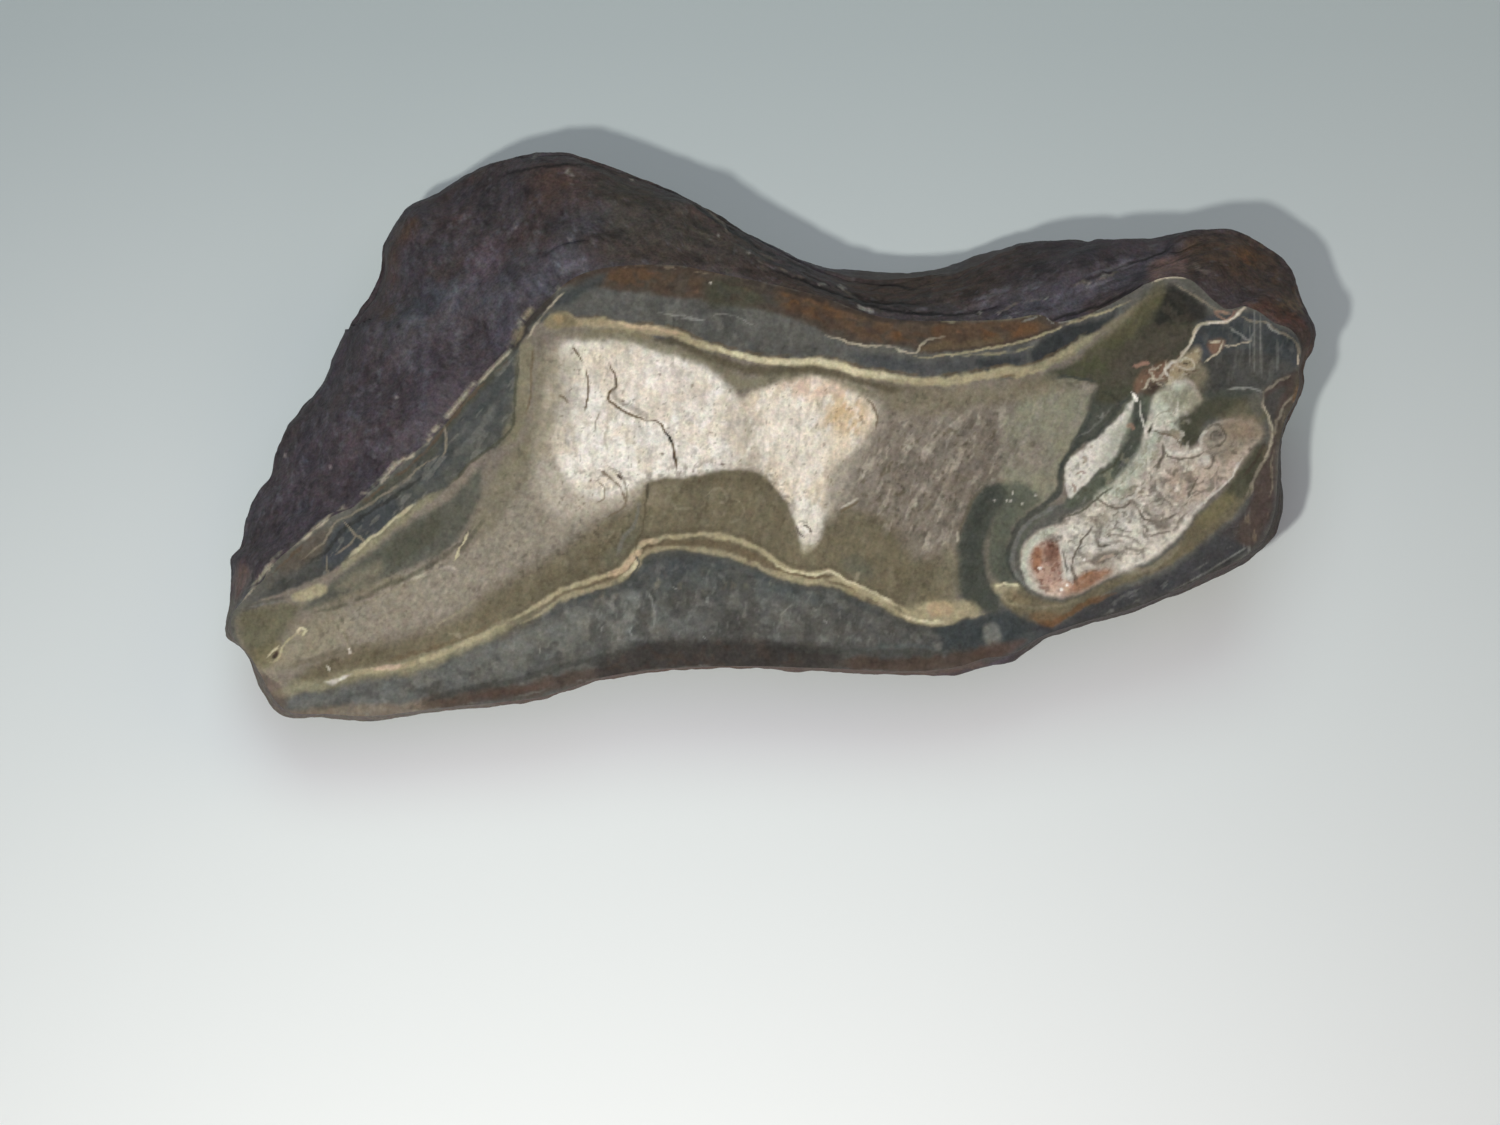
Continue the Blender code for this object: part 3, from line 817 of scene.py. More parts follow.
OUTER_BAND = (
    area("slate of the bottom band", "284,719 300,692 345,676 430,658 500,632 560,598 625,577 640,560 "
     "700,550 760,563 800,584 850,590 905,620 985,618 1010,600 1045,612 1060,640 1000,672 700,680 "
     "520,705", "slate", 4),
    area("blue edge under the line", "636,560 670,550 720,554 760,567 800,588 850,594 880,610 820,606 "
     "760,594 700,586 660,600 632,608", "steel", 8, 0.75),
    area("darkest blue by the fault", "638,560 660,554 700,556 690,572 660,580 640,586 632,600 626,590",
     "slate_blue", 6, 0.75),
    area("blue-grey at the left end", "290,696 340,682 400,676 420,688 380,698 320,704 290,706",
     "steel_pale", 5, 0.6),
    area("lighter slate of the left half", "290,704 340,688 400,676 440,664 500,642 560,612 620,592 "
     "660,600 670,624 620,642 540,664 440,690 340,708", "slate_light", 9, 0.85),
    blobs("pale clouds of the bottom band", "300,715 430,660 560,602 640,566 760,568 860,596 950,626 "
     "1000,640 960,650 700,636 600,650 450,692 330,715", "slate_pale", 15, 0.2, 0.2, 6),
    blobs("dark clouds of the bottom band", "300,715 430,660 560,602 640,566 760,568 860,596 950,626 "
     "1000,640 980,670 700,668 560,690 450,702 330,715", "slate_dark", 15, 0.0, 0.6, 6),
    blobs("pale flecks of the bottom band", "300,715 430,660 560,602 640,566 760,568 860,596 950,626 "
     "1000,640 980,660 700,660 560,680 450,695 330,715", "scratch", 9, 0.35, 0.22, 6),
    blobs("pale upright strokes", "590,610 640,570 760,570 860,600 900,640 700,640 600,650", "scratch",
     3.4, 0.5, 0.22, 8, stretch=3, degrees=80, crisp=4),
    area("dark right of the bottom band", "945,622 985,620 1035,608 1060,640 1000,668 950,655",
     "navy_soft", 8, 0.8),
    area("dark middle of the bottom band", "600,664 640,644 700,640 780,642 860,648 940,652 930,664 "
     "800,672 640,676", "slate_dark", 6, 0.8),
    area("slate of the left band", "238,620 300,566 345,520 400,470 445,430 490,375 530,320 560,318 "
     "530,400 512,440 460,478 400,524 340,566 290,600 246,620", "slate_band", 3),
    area("brown by the crack", "276,568 300,550 330,528 330,544 310,560 290,574", "brown", 5, 0.45),
    area("blue patch, lower left", "318,566 335,530 360,514 392,496 400,512 372,540 352,562 335,578",
     "slate_blue", 4),
    area("dark slate under it", "262,596 300,570 330,564 336,576 300,594 262,610", "slate_dark", 4, 0.8),
    area("blue patch, left", "412,474 440,430 470,396 500,368 514,366 508,400 496,424 470,444 446,470 "
     "425,488", "slate_blue", 5, 0.6),
    area("pale slate, left", "455,440 480,415 492,400 490,424 470,446 452,462", "slate_pale", 6, 0.5),
    line("dark stripe in the left band", "424,482 446,456 466,436 484,410 500,384 512,362", "navy_soft",
     7, 0.6),
    line("dark stripe by the crack", "350,514 380,492 410,472 430,456 450,424 470,400 492,374 512,350",
     "green_dark", 8, 0.55),
    blobs("blotches of the left band", "240,615 345,520 445,430 530,330 530,400 460,480 340,570",
     "navy_soft", 10, 0.1, 0.45, 6),
    blobs("pale strokes of the left band", "260,610 345,530 445,440 520,350 520,420 460,480 340,570",
     "slate_pale", 4, 0.4, 0.5, 5, stretch=4, degrees=52, crisp=4),
    area("slate above the cream line", "556,305 592,286 640,290 700,300 770,314 830,334 870,352 915,356 "
     "960,354 1010,346 1050,330 1085,322 1128,302 1120,316 1090,338 1060,362 1020,376 950,383 870,378 "
     "820,364 740,360 680,346 620,330 560,322", "slate", 3),
    blobs("clouds above the cream line", "560,310 640,290 770,314 870,352 960,354 1040,336 1020,370 "
     "950,380 870,374 740,354 620,326", "slate_pale", 12, 0.1, 0.3, 4),
    blobs("dark clouds above the cream line", "640,294 770,318 870,354 960,356 1040,338 1020,372 "
     "950,380 870,374 740,354 680,340", "slate_dark", 14, 0.0, 0.5, 4),
    area("navy patch, top", "1042,340 1060,330 1100,320 1116,310 1108,324 1086,342 1066,358 1042,364 "
     "1030,354", "navy", 4, 0.85),
    area("blue slate, top middle", "850,354 930,362 1000,354 1030,352 1024,368 980,374 910,374 866,368",
     "slate_blue", 5, 0.7),
    area("dark slot in it", "975,362 1000,358 1024,358 1010,366 985,368", "navy", 4, 0.7),
)

TOP_BAND = (
    area("brown zone under the rind", "560,284 600,268 640,264 680,265 730,275 780,285 825,297 865,312 "
     "900,320 960,321 1010,318 1045,314 1062,322 1040,338 1000,346 960,352 915,350 880,345 855,345 "
     "830,335 800,322 770,312 740,305 700,300 660,295 620,290 590,286", "rust_brown", 3),
    area("rust, left", "604,276 620,266 645,267 652,280 640,287 612,287", "rust_orange", 6, 0.45),
    area("brown patch", "650,278 680,272 702,280 700,294 672,296 652,290", "rust", 6, 0.6),
    area("dark slate patch", "706,284 735,280 760,290 764,302 735,306 708,304", "green_dark", 5, 0.8),
    area("rust, middle", "774,290 800,294 830,302 866,316 900,324 900,342 866,340 838,330 812,318 "
     "782,308", "rust", 5),
    area("orange rust, left", "782,294 806,299 840,312 836,324 815,317 788,306", "rust_orange", 6, 0.6),
    area("orange rust, right", "900,326 930,324 952,322 946,336 925,340 905,342 890,338", "rust_orange",
     5, 0.55),
    area("rust under the shoulder", "948,324 1000,322 1040,322 1050,328 1030,336 1000,341 950,346 "
     "940,340", "rust", 4, 0.85),
    area("rust red", "985,324 1010,322 1036,324 1034,332 1008,334 985,334", "rust_orange", 6, 0.6),
    area("beige strip in the rust", "920,345 960,342 1005,336 1004,344 960,349 920,352", "brown_line", 3,
     0.7),
    blobs("olive clouds of the rust", "590,284 640,270 700,276 780,292 866,318 960,324 1050,322 "
     "1000,346 900,347 830,332 770,308 700,298 640,290", "slate_deep", 12, 0.1, 0.5, 5, stretch=1.6,
     degrees=-14),
    blobs("rust flecks", "600,278 640,268 700,276 780,292 866,318 960,324 1040,322 1000,340 900,342 "
     "830,328 770,306 700,296 640,288", "orange", 7, 0.45, 0.15, 4, stretch=2.0, degrees=-12),
    blobs("dark flecks of the rust", "600,278 640,268 700,276 780,292 866,318 960,324 1040,322 1000,340 "
     "900,346 830,332 770,308 700,298 640,290", "brown_dark", 7, 0.05, 0.55, 4, stretch=2.2,
     degrees=-14),
    line("dark line under the rind", "552,296 572,279 600,270 640,266 690,268 730,277", "brown_dark", 5,
     0.8, broken=0.3),
    line("pale line under the rind", "620,268 650,266 680,269 700,273 742,279", "brown_pale", 1.6, 0.5,
     broken=0.6),
    line("dark hem of the rind", "730,279 780,289 825,301 865,315 900,322 960,323", "black_brown", 6,
     0.7, broken=0.25),
    area("dark corner by the gap", "554,306 566,290 584,280 604,274 600,284 584,292 572,304",
     "steel_dark", 5, 0.8),
    line("light line in the rust", "825,335 850,342 870,347 890,348 905,353 914,353 922,345 930,339 "
     "945,338", "vein", 2.2, 0.7, broken=0.15),
    line("upper light line", "914,357 935,357 962,354 1000,346 1020,342 1042,335 1062,328 1082,321 "
     "1100,314 1115,308 1130,301", "cream_dim", 2.4, 0.8, broken=0.15),
    line("lower light line", "962,357 1000,353 1020,350 1034,346", "cream_dark", 2.2, 0.9, broken=0.2),
    line("dark line over it", "920,353 960,350 1000,343 1040,333 1080,320 1110,306", "brown_dark", 2.5,
     0.6, broken=0.2),
    line("scratch", "660,313 672,315 682,316 705,319", "scratch", 1.6, 0.6),
    line("scratch", "682,319 702,318", "scratch", 1.6, 0.6),
    line("scratch", "712,314 726,314 740,318 756,326", "scratch", 1.4, 0.5, broken=0.4),
    line("crack", "672,334 676,322 674,316", "slate_dark", 2, groove=0.05),
    dots("white specks", "710,284 1176,256", "bone", 1.2, 0.7),
    line("warm line at the rim", "930,320 960,321 1000,319 1040,314", "cream_dark", 3, 0.7, broken=0.5),
    line("grey line, rim to line", "1020,322 1032,318 1044,314 1048,320 1056,324 1075,321", "scratch", 2,
     0.6, broken=0.2),
)

INNER_BODY = (
    area("body of the inner stone", "236,618 262,600 300,585 345,562 400,522 445,490 480,456 512,436 "
     "518,400 520,350 532,330 548,322 575,324 625,330 650,338 700,352 760,363 800,363 835,364 870,376 "
     "920,380 980,380 1030,374 1065,358 1095,333 1130,308 1150,296 1178,296 1195,330 1190,362 1150,395 "
     "1110,420 1085,446 1072,480 1066,500 1035,515 1013,540 1010,575 1000,604 983,615 945,624 905,619 "
     "840,587 800,583 755,562 700,549 650,553 625,576 580,588 520,622 440,657 380,673 320,687 275,697 "
     "262,680 240,640", "greige", 2),
    area("olive margin, lower left", "300,690 300,676 350,650 400,640 440,625 500,595 560,562 600,530 "
     "624,512 650,470 700,466 760,470 800,505 850,508 900,512 945,540 955,600 970,612 945,628 905,622 "
     "840,590 800,586 755,565 700,552 650,556 625,580 580,592 520,626 440,660 380,676", "olive", 10,
     0.95),
    area("light body, lower left", "330,640 350,610 400,580 450,560 500,520 530,470 560,470 600,500 "
     "590,520 556,545 500,580 440,612 380,635 340,650", "beige", 12, 0.9),
    area("olive-yellow body, left", "264,664 280,640 310,618 340,605 350,620 340,645 300,664 276,672",
     "olive_light", 10, 0.7),
    area("olive band at the left end", "238,614 260,606 300,603 300,612 280,640 262,668 246,650",
     "olive_green", 7, 0.9),
    area("olive strip along the lens", "300,603 340,590 400,575 404,580 360,594 320,610", "khaki", 4,
     0.6),
    area("grey-green lens", "300,610 345,572 400,530 450,500 470,480 482,470 480,500 466,526 450,548 "
     "430,560 380,580 330,600", "lens", 4),
    area("light of the lens", "336,586 366,566 384,560 380,574 356,588", "olive_light", 6, 0.5),
    area("dark of the lens", "384,548 410,530 440,512 444,530 420,552 392,566", "green_dark", 6, 0.6),
    area("brown-olive between lens and chalk", "470,530 484,500 500,470 520,444 536,440 544,456 520,490 "
     "500,520 478,544", "khaki", 8, 0.6),
    blobs("light flecks of the lower body", "340,640 400,585 450,562 500,525 540,470 600,500 560,545 "
     "500,585 440,615 380,640", "chalk_grey", 4, 0.2, 0.18, 8, stretch=1.4, degrees=40),
    blobs("dark flecks of the lower body", "330,650 400,585 450,562 500,525 540,460 600,500 560,550 "
     "500,590 440,620 380,645", "greige_dark", 4, 0.3, 0.25, 8, stretch=1.4, degrees=40),
)

CHALK = (
    area("pale halo of the left chalk", "548,352 600,338 660,350 720,376 742,404 752,400 790,378 "
     "840,376 872,400 880,430 870,470 840,500 826,520 800,520 770,482 740,470 660,484 640,500 600,512 "
     "570,516 540,500 536,460 544,400", "chalk_grey", 12, 0.8),
    area("left chalk", "562,348 578,340 600,338 640,342 660,352 680,358 700,365 720,378 733,392 741,406 "
     "746,436 742,462 700,474 660,478 640,484 620,494 596,498 570,484 558,450 554,400", "chalk", 6,
     0.97),
    area("right chalk", "742,404 760,389 780,380 810,375 836,378 856,390 870,403 876,420 868,440 "
     "848,456 830,474 826,500 818,520 800,530 788,508 770,488 748,468 742,440", "chalk_warm", 5, 0.97),
    area("neck between them", "728,400 742,410 760,420 766,450 760,474 738,474 722,440", "neck", 11,
     0.95),
    area("chalk tip", "788,505 800,498 818,505 824,525 816,544 803,552 792,542 788,520", "bone", 4),
    area("tail of the tip", "796,546 812,546 808,556 800,558", "cream_dark", 4, 0.7),
    area("yellowish top of the left chalk", "560,350 600,342 640,346 650,364 610,372 572,376",
     "chalk_yellow", 8, 0.8),
    area("pink in the left chalk", "590,364 620,356 660,366 700,384 710,400 680,404 640,396 600,392",
     "chalk_pink", 14, 0.6),
    area("pink in the right chalk", "780,386 810,378 850,386 850,396 815,396 790,398", "blush", 7, 0.6),
    area("peach in the right chalk", "830,398 846,393 864,405 868,424 856,434 838,432 826,420", "peach",
     8, 0.5),
    line("orange diagonal", "812,430 826,420 840,410 852,402", "peach", 9, 0.45),
    area("white middle of the right chalk", "762,410 790,396 816,410 826,440 824,470 800,494 780,470 "
     "764,440", "chalk", 10, 0.5),
    area("left shade in the left chalk", "546,362 562,352 576,380 574,424 566,452 546,436",
     "greige_light", 11, 0.7),
    blobs("grey upright strokes, left", "556,352 600,344 640,350 640,480 600,500 562,490",
     "chalk_stroke", 6.5, 0.25, 0.4, 6, stretch=3.5, degrees=86, crisp=2.5),
    blobs("grey upright strokes, right", "640,350 700,366 740,410 742,470 660,478 630,480",
     "chalk_stroke", 6.0, 0.35, 0.3, 8, stretch=2.4, degrees=72, crisp=2.5),
    blobs("white upright strokes", "590,344 640,346 700,366 740,410 742,470 660,476 600,490", "white",
     6.5, 0.2, 0.4, 10, stretch=2.2, degrees=76, crisp=2),
    blobs("warm clouds of the chalk", "556,352 640,346 700,366 740,410 742,470 660,478 600,496 562,490",
     "chalk_warm", 18, 0.05, 0.5, 10),
    blobs("grey clouds of the chalk", "556,352 640,346 700,366 740,410 742,470 660,478 600,496 562,490",
     "neck", 11, 0.25, 0.45, 10),
    blobs("strokes of the right chalk", "744,410 790,380 850,386 876,420 840,470 822,520 790,510 "
     "750,470", "chalk_stroke", 5.5, 0.4, 0.3, 6, stretch=2.4, degrees=70, crisp=2.5),
    blobs("light strokes of the right chalk", "744,410 790,380 850,386 870,420 836,470 822,520 790,510 "
     "750,470", "chalk", 6, 0.1, 0.5, 8, stretch=2.2, degrees=70, crisp=2),
    blobs("dark crumbs round the chalk", "546,352 600,340 720,376 790,378 872,400 880,440 830,520 "
     "770,490 660,484 600,512 548,500", "brown_line", 4, 0.72, 0.5, 6, crisp=5),
    blobs("grey edge flecks, below", "560,470 600,490 640,484 700,474 742,466 770,484 790,510 800,500 "
     "760,468 700,460 640,470 600,470", "greige", 4.4, 0.15, 0.55, 6),
)

OLIVE_PATCHES = (
    area("olive patch under the chalk", "640,500 652,482 700,475 740,470 764,476 786,502 796,530 "
     "800,556 790,566 760,556 720,540 680,536 645,545 630,540", "olive", 3, 0.97),
    area("dark edge of the patch", "650,484 700,476 742,471 764,478 784,500 770,506 740,486 690,490 "
     "655,500", "olive_dark", 5, 0.4),
    area("pale corner of the patch", "644,494 660,482 680,480 672,500 648,510", "olive_light", 6, 0.5),
    line("pale rings in the patch", "706,496 716,490 726,492 728,500 718,506", "olive_light", 2.4, 0.5),
    line("pale rings in the patch", "672,500 680,508 692,506", "olive_light", 2.4, 0.5),
    line("pale rings in the patch", "738,500 744,510 740,520 730,524", "olive_light", 2.4, 0.45),
    blobs("pale strokes of the patch", "640,500 700,478 760,478 790,510 796,550 720,536 650,540",
     "olive_light", 5, 0.3, 0.22, 6, stretch=2, degrees=80, crisp=3),
    area("olive patch by the tip", "812,548 830,532 850,520 880,520 910,534 945,548 950,590 920,612 "
     "880,600 840,580 815,570", "olive", 10, 0.9),
    area("brown side of it", "870,520 890,516 906,530 910,548 890,545", "olive_dark", 8, 0.5),
    area("green spot", "844,560 862,556 872,570 862,582 848,574", "green", 6, 0.5),
    line("pale spot", "858,572 856,580 854,586", "olive_light", 4, 0.8),
    area("olive band to the left", "480,604 540,564 590,530 620,514 636,520 630,548 600,572 540,600 "
     "490,628", "olive", 8, 0.85),
    area("dark olive in it", "520,592 560,566 600,540 620,532 624,550 596,570 540,596", "olive_dark", 8,
     0.35),
    area("green tint by the fault", "600,560 620,540 634,520 638,540 626,560 606,572", "green", 6, 0.4),
    blobs("strokes of the olive", "812,550 850,516 900,520 950,550 950,595 900,605 840,582 520,612 "
     "480,610 540,566 600,530 640,520 640,545 600,575", "olive_light", 6, 0.3, 0.25, 8, stretch=2,
     degrees=78),
)

UPPER_CREAM = "545,326 552,318 566,318 580,322 600,321 620,324 640,328 660,330 680,335 700,345 " \
    "720,351 740,356 760,361 780,362 800,361 820,362 850,370 865,374 880,377 900,380 925,382 " \
    "950,381 975,377 1000,372 1020,372 1040,367 1060,356 1080,345 1098,333"
LOWER_CREAM_UPPER = "500,626 520,615 540,603 560,593 580,584 600,577 620,569 628,560 635,550 " \
    "645,543 655,540 680,535 700,534 720,536 735,539 750,544 765,552 775,560 783,567 800,573 " \
    "815,574 830,573 840,579 850,585 870,595 885,601 900,608 915,615"
LOWER_CREAM_LOWER = "520,624 540,613 560,602 580,593 600,587 620,580 634,568 640,558 650,551 " \
    "670,548 700,549 720,552 740,557 755,563 770,571 785,578 800,583 820,583 840,588 850,592 " \
    "875,603 890,610 905,618 925,624 945,624 962,617 983,615"
LOWER_CREAM_LEFT = "275,695 300,687 320,684 340,679 370,672 400,668 430,658 460,647 480,638 " \
    "500,629 520,619"

BORDERS = (
    line("olive inside of the upper line", "560,334 580,336 600,333 620,335 640,339 660,348 680,353 "
     "700,362 720,371 740,383 760,382 780,377 800,372 820,371 850,386 870,394 890,400", "khaki", 11,
     0.85, soft=0.9, ends=0.1),
    area("olive under the line, right", "876,386 920,388 1000,384 1050,374 1058,384 1030,398 980,404 "
     "930,414 892,410 878,398", "olive_soft", 8, 0.9),
    line("dark olive inside", "650,337 660,340 680,343 700,355 720,362 740,369 760,372 780,371 800,369 "
     "820,370 850,378 870,385 890,389 915,390", "olive_dark", 8.5, 0.85, soft=0.8, ends=0.1),
    line("brown under the cream, left", "590,329 620,330 640,334 656,338", "tan", 4, 0.8, soft=0.8),
    line("brown line over the cream", UPPER_CREAM, "brown_line", 3, 0.6, shift=6, broken=0.4),
    line("upper cream line", UPPER_CREAM, "cream_dim", 8, ends=0.05, soft=0.5),
    line("bright middle of the cream", "700,345 720,351 740,356 760,361 780,362 800,361 820,362 850,370 "
     "880,377 905,380", "cream", 6, ends=0.15, broken=0.15, soft=0.5),
    line("dull left part", "550,320 580,322 600,321 620,324 640,328 660,331 684,336", "vein_body", 8,
     0.8, soft=0.5),
    line("pale top of the left part", "606,321 620,322 640,326 660,329 684,335", "peach_pale", 3.4, 0.8,
     broken=0.15),
    line("wide cream, right", "985,375 1004,371 1030,371", "cream_dim", 9, 0.7),
    line("brown dash in it", "1000,376 1010,374 1016,375", "brown_line", 2.6, 0.7),
    line("yellow olive line, right", "1030,370 1060,357 1080,345 1100,332", "cream_dark", 8, 0.85,
     ends=0.2),
    line("light core, right", "1040,366 1062,355 1082,343", "cream_dim", 4, 0.7, ends=0.2),
    line("yellow olive line, far right", "1096,333 1115,322 1130,312 1150,297", "moss", 7, 0.45,
     ends=0.3, soft=0.9),
    area("tan knob at the left end", "545,326 550,317 562,312 574,317 576,326 560,329", "tan", 2.5),
    dots("warm knob", "560,319", "peach", 5, 0.3),
    line("tan stripe, left border", "529,336 525,360 523,385 521,410 515,432 500,446", "khaki", 14, 0.9,
     soft=0.6),
    line("brown line, left border", "533,345 531,370 530,395 527,415", "brown_line", 2.4, 0.7),
    line("olive stripe, left border", "545,342 543,370 541,400 535,430 520,457 494,484", "khaki", 13,
     0.6, soft=0.9),
    line("soft edge to the chalk", "556,346 556,375 555,405 549,434 536,462", "olive_light", 13, 0.6,
     soft=0.9),
    line("dark line, left border", "520,352 516,380 514,410 512,430 500,441 480,456 460,475 445,490",
     "green_dark", 3, 0.75),
    line("dark line under the lower cream", LOWER_CREAM_LOWER, "steel_dark", 7, 0.5, shift=-7, soft=0.6),
    line("brown between the lower lines", "540,607 580,587 622,574 636,556 660,545 700,543 735,548 "
     "765,562 800,578 838,582 870,600 905,616", "brown_line", 8, 0.6),
    line("lower cream, upper line", LOWER_CREAM_UPPER, "cream_dim", 4.8, ends=0.06, soft=0.7),
    line("lower cream, lower line", LOWER_CREAM_LOWER, "cream_dim", 4.4, 0.7, ends=0.06, soft=0.8,
     broken=0.1),
    line("lower cream, left", LOWER_CREAM_LEFT, "cream_dark", 12, ends=0.08, soft=0.8),
    line("light core, left", "330,681 370,672 400,667 430,657 460,646 480,637 505,625", "cream_dim", 5,
     0.85, soft=0.6),
    line("white in the left part", "318,685 330,682 342,679 352,676", "marble_light", 4, ends=0.3,
     broken=0.3, soft=0.7),
    line("peach in the left part", "372,669 386,668 404,664", "blush", 4, 0.5),
    line("brown in the left part", "380,664 420,652 470,636 500,620", "brown_line", 4, 0.55),
    line("bright loop, right", "772,556 776,566 790,571 815,575 830,573 846,582 870,592 896,606",
     "cream", 3, broken=0.2),
    line("brown under the loop", "768,562 784,572 806,578 830,578 850,590", "brown_line", 2.4, 0.7),
    line("cream under it", "770,568 790,577 812,582 836,580 860,592 884,604 905,616", "cream_dim", 4,
     0.8, broken=0.1),
    area("cream patch, right end", "900,614 920,604 955,600 975,604 978,614 960,618 945,624 920,623",
     "cream_dim", 4, 0.9),
    area("peach in the patch", "926,606 940,602 954,605 950,614 930,616", "peach_dim", 3, 0.8),
    line("bright lower edge", "900,615 915,620 930,623 944,623", "cream", 3, 0.9),
    line("bright patch over the fault", "604,576 622,570 632,557 640,550", "peach_pale", 6, 0.8),
    line("cream side of the fault", "622,577 632,570 636,560", "cream", 4, 0.8),
    line("cream over the fault", "638,547 646,542 658,540", "peach_pale", 5, 0.7),
    line("olive over the lower line", LOWER_CREAM_UPPER, "olive_dark", 5, 0.45, shift=5, soft=0.6),
)

LEFT_END = (
    area("brown corner", "258,678 268,674 282,688 288,704 276,708 264,694", "rust_red", 4, 0.5),
    line("thin line by the corner", "262,668 272,677 285,686", "olive_light", 1.6, 0.8),
    area("yellow of the fan", "254,652 266,646 280,640 282,652 272,666 262,670", "moss", 5, 0.6),
    line("olive streak of the fan", "286,668 310,660 340,652 380,644", "olive_dark", 6, 0.4),
    line("cream crack", "268,660 274,662 279,655 283,645 290,637 298,633 304,632", "cream_dim", 2.4,
     ends=0.25, broken=0.15),
    line("cream crack, left side", "268,658 272,651 279,644", "cream", 2, 0.8, ends=0.25),
    line("cream blobs at its end", "298,632 302,628 306,631 303,635", "cream", 2.4, 0.9),
    line("dark hole in the crack", "274,656 277,651", "brown_dark", 3, ends=0, groove=0.15),
    area("cream wedge", "294,595 310,586 326,583 328,590 312,597 298,599", "cream_dim", 2.5, 0.9),
    line("cream stripe", "336,574 360,553 380,538 400,521 420,506 442,490", "cream_dark", 8, 0.85,
     soft=0.7),
    line("bright edge of the stripe", "350,556 375,536 400,516 416,503", "cream", 3.4, 0.75, soft=0.6),
    line("dark line under the lens", "312,612 345,604 370,593 395,582 420,572 440,560 460,545 470,532 "
     "474,522", "green_dark", 4.5, 0.6, soft=0.8, broken=0.2),
    line("light line under it", "350,608 400,588 430,573", "olive_light", 3, 0.5),
    line("yellow crack", "456,562 462,548 468,534", "cream", 2.2, groove=0.05),
    line("dark by the crack", "462,556 470,540 484,520", "green_dark", 5, 0.5),
    line("pale crumbs", "410,580 430,575 450,568 462,574", "chalk_grey", 3, 0.6, broken=0.45),
    line("dark line at the top edge", "242,612 262,604 290,596", "slate_dark", 5, 0.6),
    line("pale line at the top edge", "250,608 275,602 300,600", "slate_pale", 2.4, 0.6, broken=0.2),
    area("brown band over the line", "300,676 340,658 380,650 400,656 345,670 305,684", "olive_dark", 6,
     0.35),
    line("tan step", "425,626 432,632 440,622 460,612 478,600", "olive_light", 3.4, 0.7),
    line("pale crumbs in the olive", "448,632 456,634 462,640", "olive_light", 4, 0.8, broken=0.2),
    line("pale crumbs below the body", "342,628 348,640 350,654", "olive_light", 3.4, 0.7, broken=0.3),
    line("white crumb", "327,666 330,671", "bone", 2.4, 0.7),
    line("white crumb", "350,650 350,655", "bone", 2, 0.7),
)

